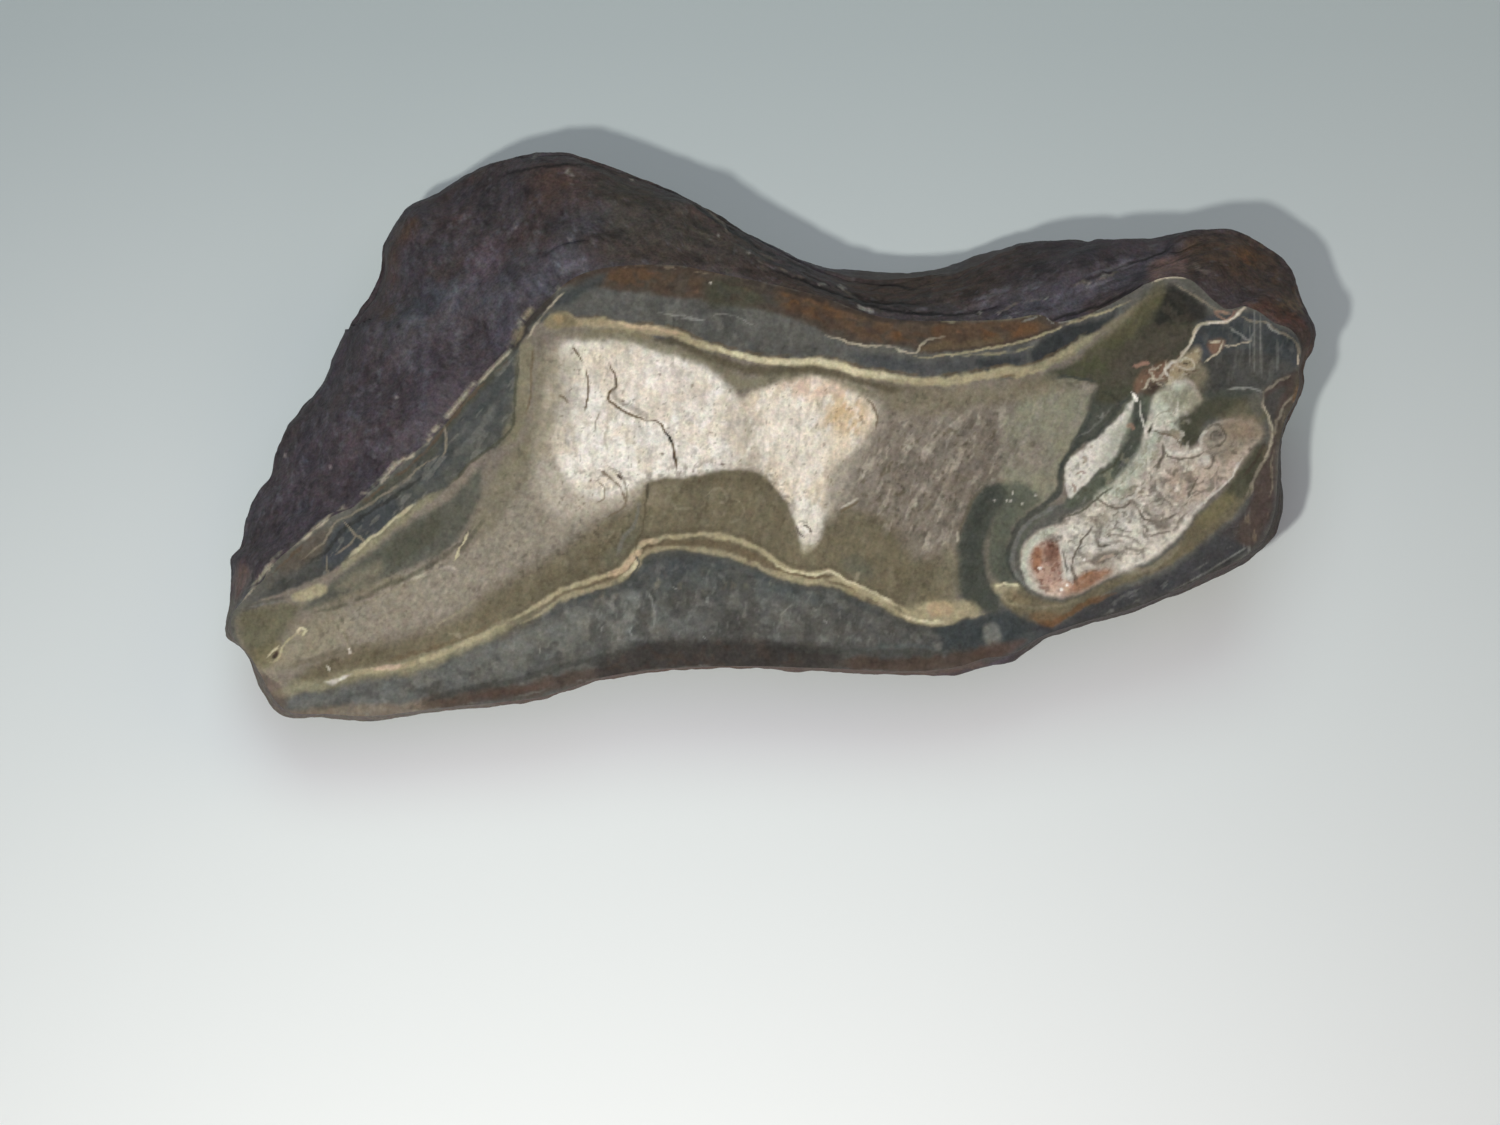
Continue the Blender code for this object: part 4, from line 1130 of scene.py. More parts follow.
RIGHT_PANEL = (
    area("speckled zone", "868,436 890,420 960,402 1020,392 1056,384 1040,430 1020,470 1000,490 972,500 "
     "958,540 940,560 900,530 870,508 848,490 856,460", "greige", 12, 0.9),
    area("light part of it", "862,440 890,430 930,440 926,480 900,520 876,500 850,480", "greige", 14,
     0.4),
    area("grey part, lower", "896,510 930,490 952,500 944,540 920,560 900,540", "greige", 10, 0.6),
    blobs("light slanted strokes", "862,440 900,424 980,410 1040,400 1030,460 1000,490 970,510 944,560 "
     "900,540 860,500", "chalk_grey", 5.4, 0.2, 0.42, 10, stretch=3.2, degrees=64, crisp=3),
    blobs("dark slanted strokes", "862,440 900,424 980,410 1040,400 1030,460 1000,490 970,510 944,560 "
     "900,540 860,500", "greige_dark", 5.4, 0.1, 0.5, 10, stretch=3.6, degrees=60, crisp=3),
    blobs("dark crumbs", "866,440 900,430 980,420 1020,420 1000,480 970,500 900,520 860,496",
     "olive_dark", 4, 0.5, 0.6, 8, stretch=1.6, degrees=64, crisp=4),
    line("curled pale line", "928,414 938,413 942,416 950,415", "olive_light", 2.6, 0.8),
    area("violet-brown streak", "966,452 990,442 1004,452 990,476 970,496 948,534 938,530 956,490",
     "greige_dark", 9, 0.3),
    area("green panel", "1004,420 1030,392 1060,378 1080,378 1098,388 1096,402 1084,432 1070,456 "
     "1060,480 1056,492 1040,505 1020,508 1004,500 1000,480 1006,450", "green_grey", 7, 0.9),
    area("grey of the panel", "1004,440 1030,430 1050,440 1044,470 1010,470", "greige", 10, 0.6),
    blobs("strokes of the panel", "1004,420 1060,380 1096,390 1084,432 1056,490 1020,506 1002,490",
     "greige_dark", 5, 0.3, 0.25, 8, stretch=3, degrees=64),
    blobs("light strokes of the panel", "1004,410 1050,384 1090,390 1080,432 1050,470 1006,470",
     "marble_grey", 4.4, 0.1, 0.5, 8, stretch=3, degrees=64),
    area("green strip", "1000,486 1020,482 1040,500 1030,512 1016,524 1008,545 1008,590 992,580 986,556 "
     "990,530 998,508", "green", 5),
    area("pinkish corner", "1078,382 1092,383 1098,390 1088,395 1078,392", "marble_grey", 3, 0.8),
    area("dark crescent", "1002,484 985,486 971,504 962,528 955,560 958,590 970,608 995,612 1000,600 "
     "988,580 984,555 990,530 999,510 1006,496", "crescent", 4),
    area("core of the crescent", "980,500 972,516 966,540 964,566 970,590 980,600 978,580 974,560 "
     "978,530 988,508", "crescent_dark", 6, 0.6),
    line("dull rim of the crescent", "959,594 955,572 956,548 963,522 972,502 984,487", "olive_dark", 3,
     0.5, broken=0.3),
    line("light rim of the crescent", "956,542 958,536 958,530", "chalk_grey", 3, 0.7),
    area("light olive left of the crescent", "940,560 950,540 956,560 956,590 940,600 934,580", "khaki",
     8, 0.6),
    area("dark strip right of it", "1002,540 1008,560 1010,590 1002,590 996,566", "crescent", 4, 0.5),
    area("dark wedge over the marble", "1092,392 1104,384 1136,372 1140,388 1126,404 1108,424 1096,438 "
     "1082,446 1070,455 1076,440 1086,416", "crescent", 4, 0.95),
    line("dark boundary", "1094,400 1086,420 1078,438 1070,452 1063,464 1060,480 1058,492 1048,503 "
     "1036,511 1024,520 1015,532 1009,550 1010,568 1018,582 1028,594", "crescent_dark", 7, 0.85,
     groove=0.06),
    line("green-grey between the lines", "1056,506 1040,516 1026,530 1019,546 1018,560", "green", 6,
     0.7),
    dots("pale specks", "994,499 1006,499 1010,500 1021,503 1012,492 1036,497", "marble", 1.4, 0.6),
    line("pale star", "1096,415 1101,418 1102,412", "slate_pale", 2, 0.8),
    line("pale line in the panel", "1040,440 1052,439", "olive_light", 2, 0.5),
)

MARBLE = (
    area("body of the right marble", "1019,560 1021,547 1030,537 1044,529 1060,524 1068,516 1085,508 "
     "1096,498 1106,490 1116,480 1126,470 1136,456 1142,442 1145,430 1149,415 1153,395 1166,388 "
     "1176,379 1190,380 1200,395 1200,408 1188,418 1178,430 1182,444 1198,440 1206,428 1216,422 "
     "1236,418 1258,424 1261,436 1252,447 1243,460 1237,470 1230,481 1221,490 1208,500 1196,516 "
     "1185,530 1172,541 1158,552 1143,562 1120,573 1100,583 1082,593 1060,598 1040,595 1026,582",
     "marble_body", 2.5),
    area("pale green head", "1149,420 1152,396 1166,388 1178,380 1196,400 1186,416 1176,428 1160,436 "
     "1150,460 1134,480 1120,498 1100,502 1096,496 1116,480 1132,462 1142,444", "marble_green", 5),
    area("yellow in the head", "1158,390 1172,388 1184,396 1182,408 1164,406", "khaki", 6, 0.6),
    area("khaki right side of the head", "1182,384 1198,392 1204,402 1194,412 1182,414 1180,398",
     "cream_dark", 6, 0.7),
    area("white across the middle", "1060,530 1090,514 1120,508 1142,512 1150,530 1140,548 1120,552 "
     "1096,548 1076,560 1062,550", "marble", 8, 0.9),
    area("grey above the middle", "1080,512 1096,504 1112,508 1108,524 1096,530 1086,526",
     "greige_light", 5, 0.8),
    area("white lower edge", "1120,566 1146,548 1172,530 1192,516 1190,524 1170,542 1144,562 1122,572",
     "bone", 4, 0.8),
    area("pink right part", "1164,474 1200,462 1216,456 1240,444 1252,446 1236,470 1216,492 1190,504 "
     "1168,500", "marble_pink", 9, 0.8),
    area("beige upper right", "1206,446 1216,424 1238,418 1258,424 1260,436 1248,448 1226,460 1210,458",
     "beige_dark", 7, 0.8),
    area("brown upper right", "1222,424 1240,416 1262,424 1260,438 1240,438 1228,436", "brown_pale", 7,
     0.8),
    area("green notch", "1176,420 1190,410 1204,402 1226,396 1238,400 1222,412 1206,422 1199,434 "
     "1196,444 1184,447 1180,436", "green_dark", 4, 0.95),
    area("inside of the big loop", "1202,436 1210,426 1220,426 1227,436 1220,444 1208,448",
     "greige_light", 3, 0.9),
    area("shade in the loop", "1210,434 1216,428 1224,432 1222,438 1214,440", "greige_dark", 3, 0.7),
    blobs("grey clouds", "1060,540 1110,510 1150,470 1200,456 1240,440 1240,470 1190,516 1140,560 "
     "1080,590 1060,580", "marble_grey", 9, 0.1, 0.45, 5),
    blobs("white clouds", "1030,560 1060,530 1100,500 1140,450 1156,410 1180,400 1190,440 1200,470 "
     "1180,520 1140,555 1080,585 1040,590", "bone", 7, 0.25, 0.6, 5),
    blobs("grey swirls", "1060,540 1110,505 1150,460 1200,456 1230,450 1230,476 1190,516 1140,560 "
     "1080,580", "marble_dark", 4.6, 0.36, 0.6, 4, bend=10, stretch=3.5, degrees=40, crisp=4),
    blobs("green swirls in the head", "1102,496 1130,470 1150,430 1160,400 1180,390 1190,410 1170,436 "
     "1150,470 1120,500", "green_grey", 4.6, 0.22, 0.65, 4, bend=8, stretch=2.5, degrees=60, crisp=4),
    line("pale rim, left end", "1040,592 1029,584 1023,571 1022,557 1030,543 1046,533 1062,528",
     "marble_green", 6, 0.9),
    area("brown-pink end", "1029,566 1031,552 1040,545 1054,540 1060,552 1061,572 1060,588 1046,590 "
     "1036,580", "flesh", 4, 0.75),
    area("orange-brown in it", "1030,562 1031,550 1038,546 1040,558 1036,572", "orange", 3, 0.75),
    area("dark red in it", "1042,550 1052,542 1058,548 1056,560 1048,562", "brown_red", 3, 0.75),
    blobs("red-brown specks", "1028,560 1040,542 1060,540 1064,575 1060,596 1040,590", "brown_red", 4,
     0.25, 0.7, 3, crisp=4),
    area("orange under it", "1062,586 1076,576 1096,570 1112,572 1100,582 1082,592 1064,596", "orange",
     4, 0.8),
    area("pink under it", "1046,588 1062,580 1072,586 1066,595 1050,596", "blush", 4, 0.6),
    line("white fold", "1060,540 1062,556 1068,572 1074,584", "marble", 6, 0.8),
    line("grey fold", "1061,548 1064,560 1067,572", "marble_dark", 1.8, 0.8),
    line("grey fold", "1070,566 1074,574 1077,582", "marble_dark", 3, 0.8),
    line("long crack", "1094,526 1086,536 1079,546 1073,558 1070,568", "marble_dark", 2, 0.9,
     groove=0.08),
    line("hook", "1102,524 1098,532 1097,541 1102,546 1112,543 1126,541", "marble_grey", 5, 0.75),
    line("hook, dark edge", "1096,538 1100,546 1110,545", "marble_dark", 2, 0.8),
    line("streak", "1106,530 1118,527 1134,532", "marble_grey", 2.4, 0.8),
    line("streak", "1104,537 1118,534 1134,538 1140,546", "marble_grey", 2.4, 0.8),
    area("brown crescent", "1090,564 1096,555 1108,551 1120,553 1112,560 1098,564", "marble_dark", 2.5,
     0.75),
    line("light in the crescent", "1097,561 1106,557 1116,557", "marble_pink", 2.4, 0.8),
    line("round lump", "1121,562 1121,554 1130,549 1141,552 1144,561", "marble_grey", 3, 0.8),
    area("white of the lump", "1123,560 1126,554 1134,553 1138,560 1130,566", "bone", 3, 0.8),
    line("swirl", "1138,506 1142,515 1149,521 1158,522 1168,518 1180,513", "marble_dark", 2.4, 0.9,
     groove=0.06),
    line("swirl inside", "1146,502 1147,510 1152,516 1160,517", "marble_grey", 4, 0.9),
    line("swirl inside", "1150,503 1158,500 1168,502 1172,508", "marble_dark", 1.8, 0.6),
    area("grey block", "1154,521 1167,519 1170,527 1158,530", "greige", 2),
    line("brown bits", "1143,526 1148,530 1146,534", "marble_dark", 3, 0.7),
    line("line under the block", "1146,536 1158,534 1172,531", "marble_dark", 1.6, 0.7),
    line("fold over the middle", "1133,498 1124,505 1110,506 1102,501 1096,494", "marble_dark", 2, 0.85,
     groove=0.05),
    line("edge of the fold", "1064,518 1080,512 1092,503 1102,494 1112,486", "green_dark", 2.4, 0.8),
    line("light by the fold", "1110,502 1122,501 1134,494 1140,484", "marble", 3.4, 0.8),
    line("loop", "1204,450 1212,447 1222,443 1227,436 1224,429 1216,424 1208,427 1202,434",
     "marble_dark", 2.2, 0.8, ends=0.3, groove=0.05),
    line("arc in the loop", "1211,440 1210,433 1216,430 1221,434", "marble_dark", 1.8, 0.7, ends=0.3),
    line("light left of the loop", "1199,444 1200,436 1206,430", "marble", 3, 0.7),
    line("small loop", "1200,452 1208,452 1213,458 1211,465 1204,469 1199,465", "marble_dark", 2.4, 0.75,
     ends=0.3, groove=0.05),
    area("white of the small loop", "1200,456 1207,455 1209,461 1203,465", "marble", 2, 0.8),
    line("ridge light", "1165,446 1170,452 1182,453 1196,449 1202,444", "marble", 4, 0.9),
    line("ridge line", "1163,448 1168,456 1180,459 1192,457 1202,451", "marble_dark", 2, 0.85,
     groove=0.05),
    line("brown fold", "1152,429 1162,432 1173,434 1179,441 1181,448", "brown_line", 2.4, 0.8),
    line("tan fold", "1160,430 1172,432 1180,439", "tan", 4, 0.7, shift=2),
    line("white over the fold", "1150,426 1160,427 1172,427", "bone", 4, 0.8),
    line("dark drop", "1163,443 1163,450 1160,460 1155,470", "marble_dark", 3, 0.8, groove=0.06),
    line("crack", "1197,477 1192,487 1187,499", "marble_dark", 1.8, 0.8, groove=0.08),
    line("crack", "1182,462 1179,478 1179,494", "marble_grey", 2.4, 0.7),
    line("crack", "1188,458 1185,470 1182,480", "marble_grey", 1.6, 0.7),
    line("crack", "1212,478 1206,490 1200,500", "marble_grey", 1.6, 0.6),
    line("vein hole, rim", "1153,421 1147,428 1146,437 1151,436 1155,426", "marble", 3, 0.9),
    line("vein hole", "1152,424 1149,434", "green_dark", 3.4, ends=0.3, groove=0.1),
    line("pale outline, left end", "1030,589 1018,578 1012,565 1012,550 1019,534 1030,522 1044,513 "
     "1058,506", "slate_pale", 4, 0.8),
    line("light lower rim", "1193,516 1200,506 1212,496 1224,487 1232,478 1237,468 1243,458", "marble",
     2.4, 0.75),
    dots("white specks", "1039,567 1068,586 1062,590 1084,560", "white", 1.6),
    dots("dark spots", "1056,540 1062,538 1096,520 1130,520 1175,470 1150,486 1140,492 1170,490 "
     "1118,520", "marble_dark", 1.8, 0.6),
)

LENS = (
    area("streaky green zone", "1112,418 1128,402 1134,396 1150,396 1151,416 1142,436 1138,452 1126,470 "
     "1110,486 1094,498 1078,506 1064,508 1070,498 1086,486 1104,466 1120,448", "green_mid", 4),
    area("dark streaks of the zone", "1130,404 1140,402 1146,420 1140,440 1132,460 1120,472 1116,460 "
     "1124,440 1129,420", "crescent", 4, 0.8),
    blobs("pale strokes in the zone", "1070,505 1100,480 1126,450 1134,410 1150,400 1146,440 1130,470 "
     "1100,500 1076,510", "slate_pale", 3.6, 0.15, 0.6, 3, stretch=3.5, degrees=58, crisp=4),
    blobs("green patches in the zone", "1090,490 1110,466 1126,450 1136,460 1120,480 1100,496",
     "green_grey", 7, 0.2, 0.6, 3),
    area("lens", "1132,400 1122,412 1112,422 1100,437 1088,446 1075,455 1067,464 1065,478 1067,490 "
     "1072,498 1078,492 1088,482 1098,470 1110,460 1118,448 1122,435 1127,420 1131,408", "marble_light",
     1.8),
    area("green tint of the lens", "1104,450 1110,432 1122,420 1128,408 1129,420 1121,444 1108,460 "
     "1100,464", "lens_green", 6, 0.75),
    line("dark edge, upper", "1132,398 1118,413 1106,428 1096,440 1082,448 1070,457 1064,468 1062,482",
     "crescent_dark", 3, 0.75, shift=-3),
    line("pale line over the lens", "1116,412 1104,426 1094,436 1080,444", "slate_pale", 2, 0.5,
     shift=-7, broken=0.3),
    line("dark edge, lower", "1120,446 1112,460 1100,470 1090,482 1080,492", "green_dark", 2.4, 0.8,
     shift=3, broken=0.2),
    line("white streak", "1139,400 1140,414 1145,428 1147,440", "marble", 2, 0.75),
    line("pale streak", "1146,440 1139,455 1132,468 1124,478", "marble", 2.4, 0.75, broken=0.2),
    line("dark streak", "1148,400 1148,412 1144,424", "ink", 2, 0.6),
    line("dark streak", "1138,452 1132,464 1126,472", "green_dark", 2.4, 0.8),
    line("pinkish patch", "1124,427 1130,425 1134,430", "flesh", 4, 0.5),
    blobs("pink-brown spots", "1072,462 1084,450 1096,440 1104,426 1108,436 1094,460 1084,480 1072,494 "
     "1068,480", "brown_pale", 4, 0.55, 0.55, 3, crisp=4),
    line("spot", "1082,455 1086,459 1084,464", "brown_pale", 3, 0.7),
    line("spot", "1077,474 1083,471 1087,473", "brown_red", 2.4, 0.6),
    line("spot", "1073,484 1077,488 1075,493", "brown_red", 2.2, 0.6),
    dots("white glint", "1133,397 1134,400", "white", 2.2),
    line("glint", "1130,393 1134,397 1136,401", "white", 2.4, ends=0.2),
)

UNDER_MARBLE = (
    area("olive under the marble", "1000,600 1016,584 1030,594 1050,602 1080,597 1112,580 1146,566 "
     "1176,545 1204,512 1228,490 1243,468 1258,448 1268,445 1262,474 1240,508 1206,540 1160,568 "
     "1110,592 1080,612 1050,622 1030,622 1012,612", "olive", 3),
    line("dark fold in the marble", "1172,446 1180,438 1190,434", "marble_dark", 6, 0.6, soft=0.7),
    area("dark olive by the loop", "1236,472 1250,452 1262,446 1262,470 1250,490 1236,500 1226,498",
     "green_dark", 5, 0.85),
    area("dark band under it", "1030,626 1060,622 1100,600 1160,574 1210,540 1246,510 1262,480 1276,490 "
     "1272,520 1256,545 1228,563 1150,600 1100,618 1050,636", "plum", 5),
    area("violet-brown in the band", "1222,534 1250,510 1262,484 1272,490 1268,520 1246,540",
     "plum_brown", 6, 0.45),
    line("rust stroke", "1030,618 1048,624 1066,616 1084,606 1100,599 1116,594", "rust_light", 6, 0.75,
     ends=0.25),
    area("rust patch", "1030,614 1050,612 1064,616 1056,626 1038,624", "rust_light", 3, 0.5),
    area("cream", "990,586 1002,583 1018,587 1014,594 1030,604 1016,606 1000,598", "cream_dim", 3, 0.75),
    line("bright top of the cream", "992,587 1002,584 1018,587", "cream", 2.4, 0.9),
    line("dark spots in the cream", "1005,598 1010,601 1014,596", "olive_dark", 3, 0.7),
    area("brown in the cream", "1000,594 1010,590 1022,598 1034,606 1022,606", "brown_line", 3, 0.6),
    area("yellow olive", "1196,522 1210,506 1228,496 1236,498 1224,514 1204,530", "moss", 5, 0.9),
    line("light olive line", "1010,604 1030,608 1056,606 1084,600", "olive_light", 3, 0.35, broken=0.4),
    line("pale olive band", "1112,576 1130,573 1146,569 1160,560 1180,545", "olive_light", 5, 0.55),
    blobs("grey scratches in the band", "1080,606 1160,576 1220,540 1260,500 1272,510 1240,552 1150,598 "
     "1090,618", "scratch", 3, 0.55, 0.25, 4, stretch=5, degrees=24, crisp=4),
    line("pale scratch", "1249,508 1249,555", "scratch", 2, straight=True),
    line("pale scratch", "1245,514 1244,548", "scratch", 1.4, 0.6, straight=True),
    line("pale scratch", "1170,592 1205,573 1250,545", "scratch", 1.6, 0.6, straight=True),
    line("dark foot", "1040,640 1060,632 1100,618 1150,602 1200,578 1250,548", "ink", 5, 0.5),
    area("navy at the lower right", "930,624 960,620 1000,612 1030,620 1020,638 1000,648 950,645",
     "steel_dark", 6, 0.85),
    area("pale upright patch", "984,626 990,622 998,628 999,642 986,645", "slate_pale", 3, 0.8),
    area("red-brown foot", "972,654 984,646 1010,642 1026,640 1010,654 985,660", "rust_red", 4, 0.7),
)

TOP_RIGHT = (
    area("dark green field", "1036,386 1044,374 1070,364 1096,345 1120,326 1140,306 1166,296 1190,320 "
     "1200,345 1180,362 1150,376 1134,392 1112,404 1096,400 1098,386 1080,378 1058,378", "green_dark",
     4),
    area("olive of the wedge", "1096,340 1116,324 1140,302 1160,284 1166,296 1150,318 1120,344 1090,364 "
     "1080,362", "moss_dark", 6, 0.7),
    area("green of the wedge", "1070,370 1096,352 1120,340 1130,350 1110,368 1080,376", "green_deep", 6,
     0.7),
    area("ink wedge", "1168,284 1186,292 1204,306 1208,322 1192,326 1176,322 1160,330 1152,336 1160,308",
     "ink", 5, 0.9),
    area("brown field", "1110,360 1130,342 1156,330 1190,330 1180,350 1160,364 1140,370 1120,384 "
     "1112,376", "brown_grey", 7, 0.8),
    blobs("blotches of the field", "1050,380 1100,345 1160,300 1200,330 1180,362 1130,396 1100,396",
     "brown_grey", 8, 0.1, 0.5, 6),
    area("blue slate, right", "1200,326 1228,312 1256,312 1276,324 1294,334 1302,352 1298,366 1262,374 "
     "1230,380 1200,372 1190,352", "slate_blue", 4),
    area("navy in it", "1205,330 1232,320 1250,330 1250,346 1224,344 1204,348", "navy_soft", 4, 0.7),
    area("navy by the rim", "1258,334 1290,336 1300,350 1290,360 1262,352", "navy_soft", 6, 0.6),
    area("grey field", "1190,366 1240,350 1290,362 1300,376 1274,386 1240,390 1200,396 1178,404 "
     "1180,384", "slate_dark", 5),
    area("pale of the grey field", "1230,366 1262,362 1290,368 1276,380 1240,384", "slate", 6, 0.5),
    blobs("upright strokes of the slate", "1196,340 1240,316 1298,336 1298,376 1240,386 1196,390",
     "slate_pale", 4.4, 0.3, 0.22, 4, stretch=4, degrees=84, crisp=3),
    area("khaki field", "1180,372 1204,366 1206,388 1186,400 1180,392", "khaki", 6, 0.5),
    area("dark green band", "1176,410 1186,398 1230,390 1258,390 1250,398 1236,402 1226,404 1204,412 "
     "1188,428 1178,430", "crescent", 4, 0.95),
    area("green-brown right of it", "1226,404 1244,396 1262,398 1266,416 1256,424 1236,418 1220,420 "
     "1212,414", "olive_green", 5, 0.8),
    area("grey by the fork", "1246,392 1262,392 1264,406 1256,416 1246,402", "slate", 4, 0.5),
    area("pink-brown clump", "1134,384 1138,374 1156,364 1168,360 1176,366 1166,378 1150,382 1142,388 "
     "1134,394", "flesh_dark", 4, 0.9),
    area("dark of the clump", "1146,384 1158,382 1166,388 1158,394 1148,400 1138,398", "brown_dark", 4,
     0.9),
    area("cream clump", "1166,372 1174,362 1186,352 1198,348 1198,360 1188,374 1178,386 1168,388",
     "vein_body", 4, 0.95),
    area("brown-olive right of it", "1184,376 1196,364 1204,370 1200,386 1190,398 1182,396",
     "olive_soft", 4, 0.9),
    blobs("brown bits of the clumps", "1134,394 1140,372 1166,358 1196,348 1200,362 1180,388 1160,396",
     "brown", 4.4, 0.2, 0.65, 3, crisp=4),
    blobs("light bits of the clumps", "1140,384 1150,366 1176,358 1196,350 1196,362 1180,384", "vein", 4,
     0.2, 0.7, 3, crisp=4),
    line("pink patch", "1134,365 1142,363 1150,361", "flesh", 4, 0.7),
    line("vein at the top", "1150,284 1160,279 1172,277 1186,276", "vein", 2.4),
    line("vein", "1174,284 1188,292 1200,300 1214,309 1230,313", "vein_dim", 2.6, 0.9),
    line("main vein", "1250,303 1242,305 1234,315 1222,322 1200,327 1193,338 1186,347 1178,357 1168,364 "
     "1160,374", "vein", 3),
    line("main vein, core", "1240,307 1232,317 1221,322 1202,328 1194,338 1184,350", "bone", 1.6, 0.7,
     broken=0.3),
    line("pink edge of the vein", "1230,312 1216,312 1224,320 1236,308", "flesh", 3, 0.5),
    line("vein, lower", "1164,376 1156,378 1148,379 1144,386 1140,388", "vein", 2.6, 0.9),
    line("ring in the clump", "1178,360 1184,357 1190,360 1192,366 1186,368 1179,366", "vein", 2.4,
     ends=0),
    line("holes of the ring", "1182,362 1187,363", "brown_dark", 3, 0.9),
    line("vein drop", "1176,360 1170,364 1164,370 1168,375", "bone", 2.4, 0.8),
    line("vein to the marble", "1180,378 1176,386 1168,391 1160,394", "vein", 3, 0.7),
    line("dark gap under the clump", "1158,388 1166,388 1172,385", "brown_dark", 2.4, 0.8),
    area("brown lump in the slate", "1206,344 1216,339 1224,342 1222,350 1212,354 1208,350",
     "flesh_dark", 3, 0.8),
    line("vein in the slate", "1204,361 1210,357 1219,351 1222,342", "vein", 2.2),
    line("vein in the slate", "1208,342 1214,341 1220,342", "vein", 1.8),
    line("vein in the slate", "1223,346 1234,347 1240,344 1250,341", "vein", 1.8, 0.8),
    line("vein in the slate", "1228,326 1238,334 1248,340 1252,332", "scratch", 2, 0.6),
    line("rim vein", "1238,315 1250,320 1266,321 1276,328 1286,334 1296,341 1299,352 1298,362",
     "vein_dim", 2.2, 0.9),
    line("bright bit of the rim vein", "1299,354 1299,366", "vein", 2.6),
    line("pale branch", "1266,321 1274,328 1282,333", "scratch", 1.8),
    line("wide upright band", "1257,316 1257,376", "slate_pale", 12, 0.22, straight=True),
    line("upright scratch", "1254,308 1254,372", "scratch", 2.2, 0.5, straight=True),
    line("upright scratch", "1260,314 1261,378", "scratch", 1.6, 0.5, straight=True),
    line("upright scratch", "1250,322 1249,366", "scratch", 1.4, 0.35, straight=True),
    line("upright scratch", "1277,340 1277,372", "scratch", 3, 0.3, straight=True),
    line("line across", "1226,389 1240,387 1255,388 1262,391", "scratch", 1.8, 0.9),
    line("dark crease", "1100,392 1110,396 1118,404 1122,414", "ink", 3, 0.35),
    line("dark top of the panel", "1050,380 1064,376 1082,378 1098,382", "crescent_dark", 3, 0.8),
    line("pale strokes over the panel", "1056,384 1060,392 1062,378", "olive_light", 2, 0.4),
)

RIGHT_RIM = (
    area("violet-brown rim", "1262,392 1298,372 1299,384 1293,400 1280,420 1276,450 1274,495 1268,522 "
     "1250,548 1236,540 1252,500 1256,470 1268,450 1270,420", "plum_brown", 4, 0.95),
    area("olive by the marble", "1244,466 1256,446 1266,440 1262,462 1252,484 1244,500 1236,496",
     "green_dark", 4, 0.7),
    area("grey inside the fork", "1264,396 1284,386 1276,404 1272,420", "slate_dark", 3, 0.8),
    line("brown edge", "1300,368 1298,388 1290,402 1282,420 1278,445", "brown_grey", 11, 0.8),
    line("rust spots of the edge", "1298,384 1292,400 1286,414", "rust_light", 5, 0.5, broken=0.4),
    line("rim vein, left", "1262,391 1262,405 1268,417 1271,430 1270,445 1266,458 1259,467 1254,478 "
     "1253,490 1248,500", "vein_dim", 2.6),
    line("rim vein, light core", "1262,394 1263,406 1269,419 1272,432 1270,446 1264,460", "vein", 1.4,
     0.7, broken=0.25),
    line("fork", "1262,391 1270,386 1280,379 1290,375", "vein_dim", 2.4, 0.9),
    line("fork, lower", "1292,394 1281,404 1279,412 1275,422 1273,436", "vein_dim", 2.6, 0.9),
    line("thin vein", "1273,448 1271,466 1272,484 1270,498", "vein_dim", 1.8, 0.6),
    line("thin vein", "1254,480 1249,492 1244,500", "vein_dim", 1.8, 0.6),
    line("dark line by the vein", "1266,440 1258,456 1250,468 1244,478", "brown_dark", 3, 0.6),
    blobs("upright strokes of the rim", "1256,470 1276,430 1296,384 1298,400 1278,450 1274,520 1246,548 "
     "1240,530", "brown_pale", 3.6, 0.3, 0.4, 3, stretch=5, degrees=86, crisp=3),
)

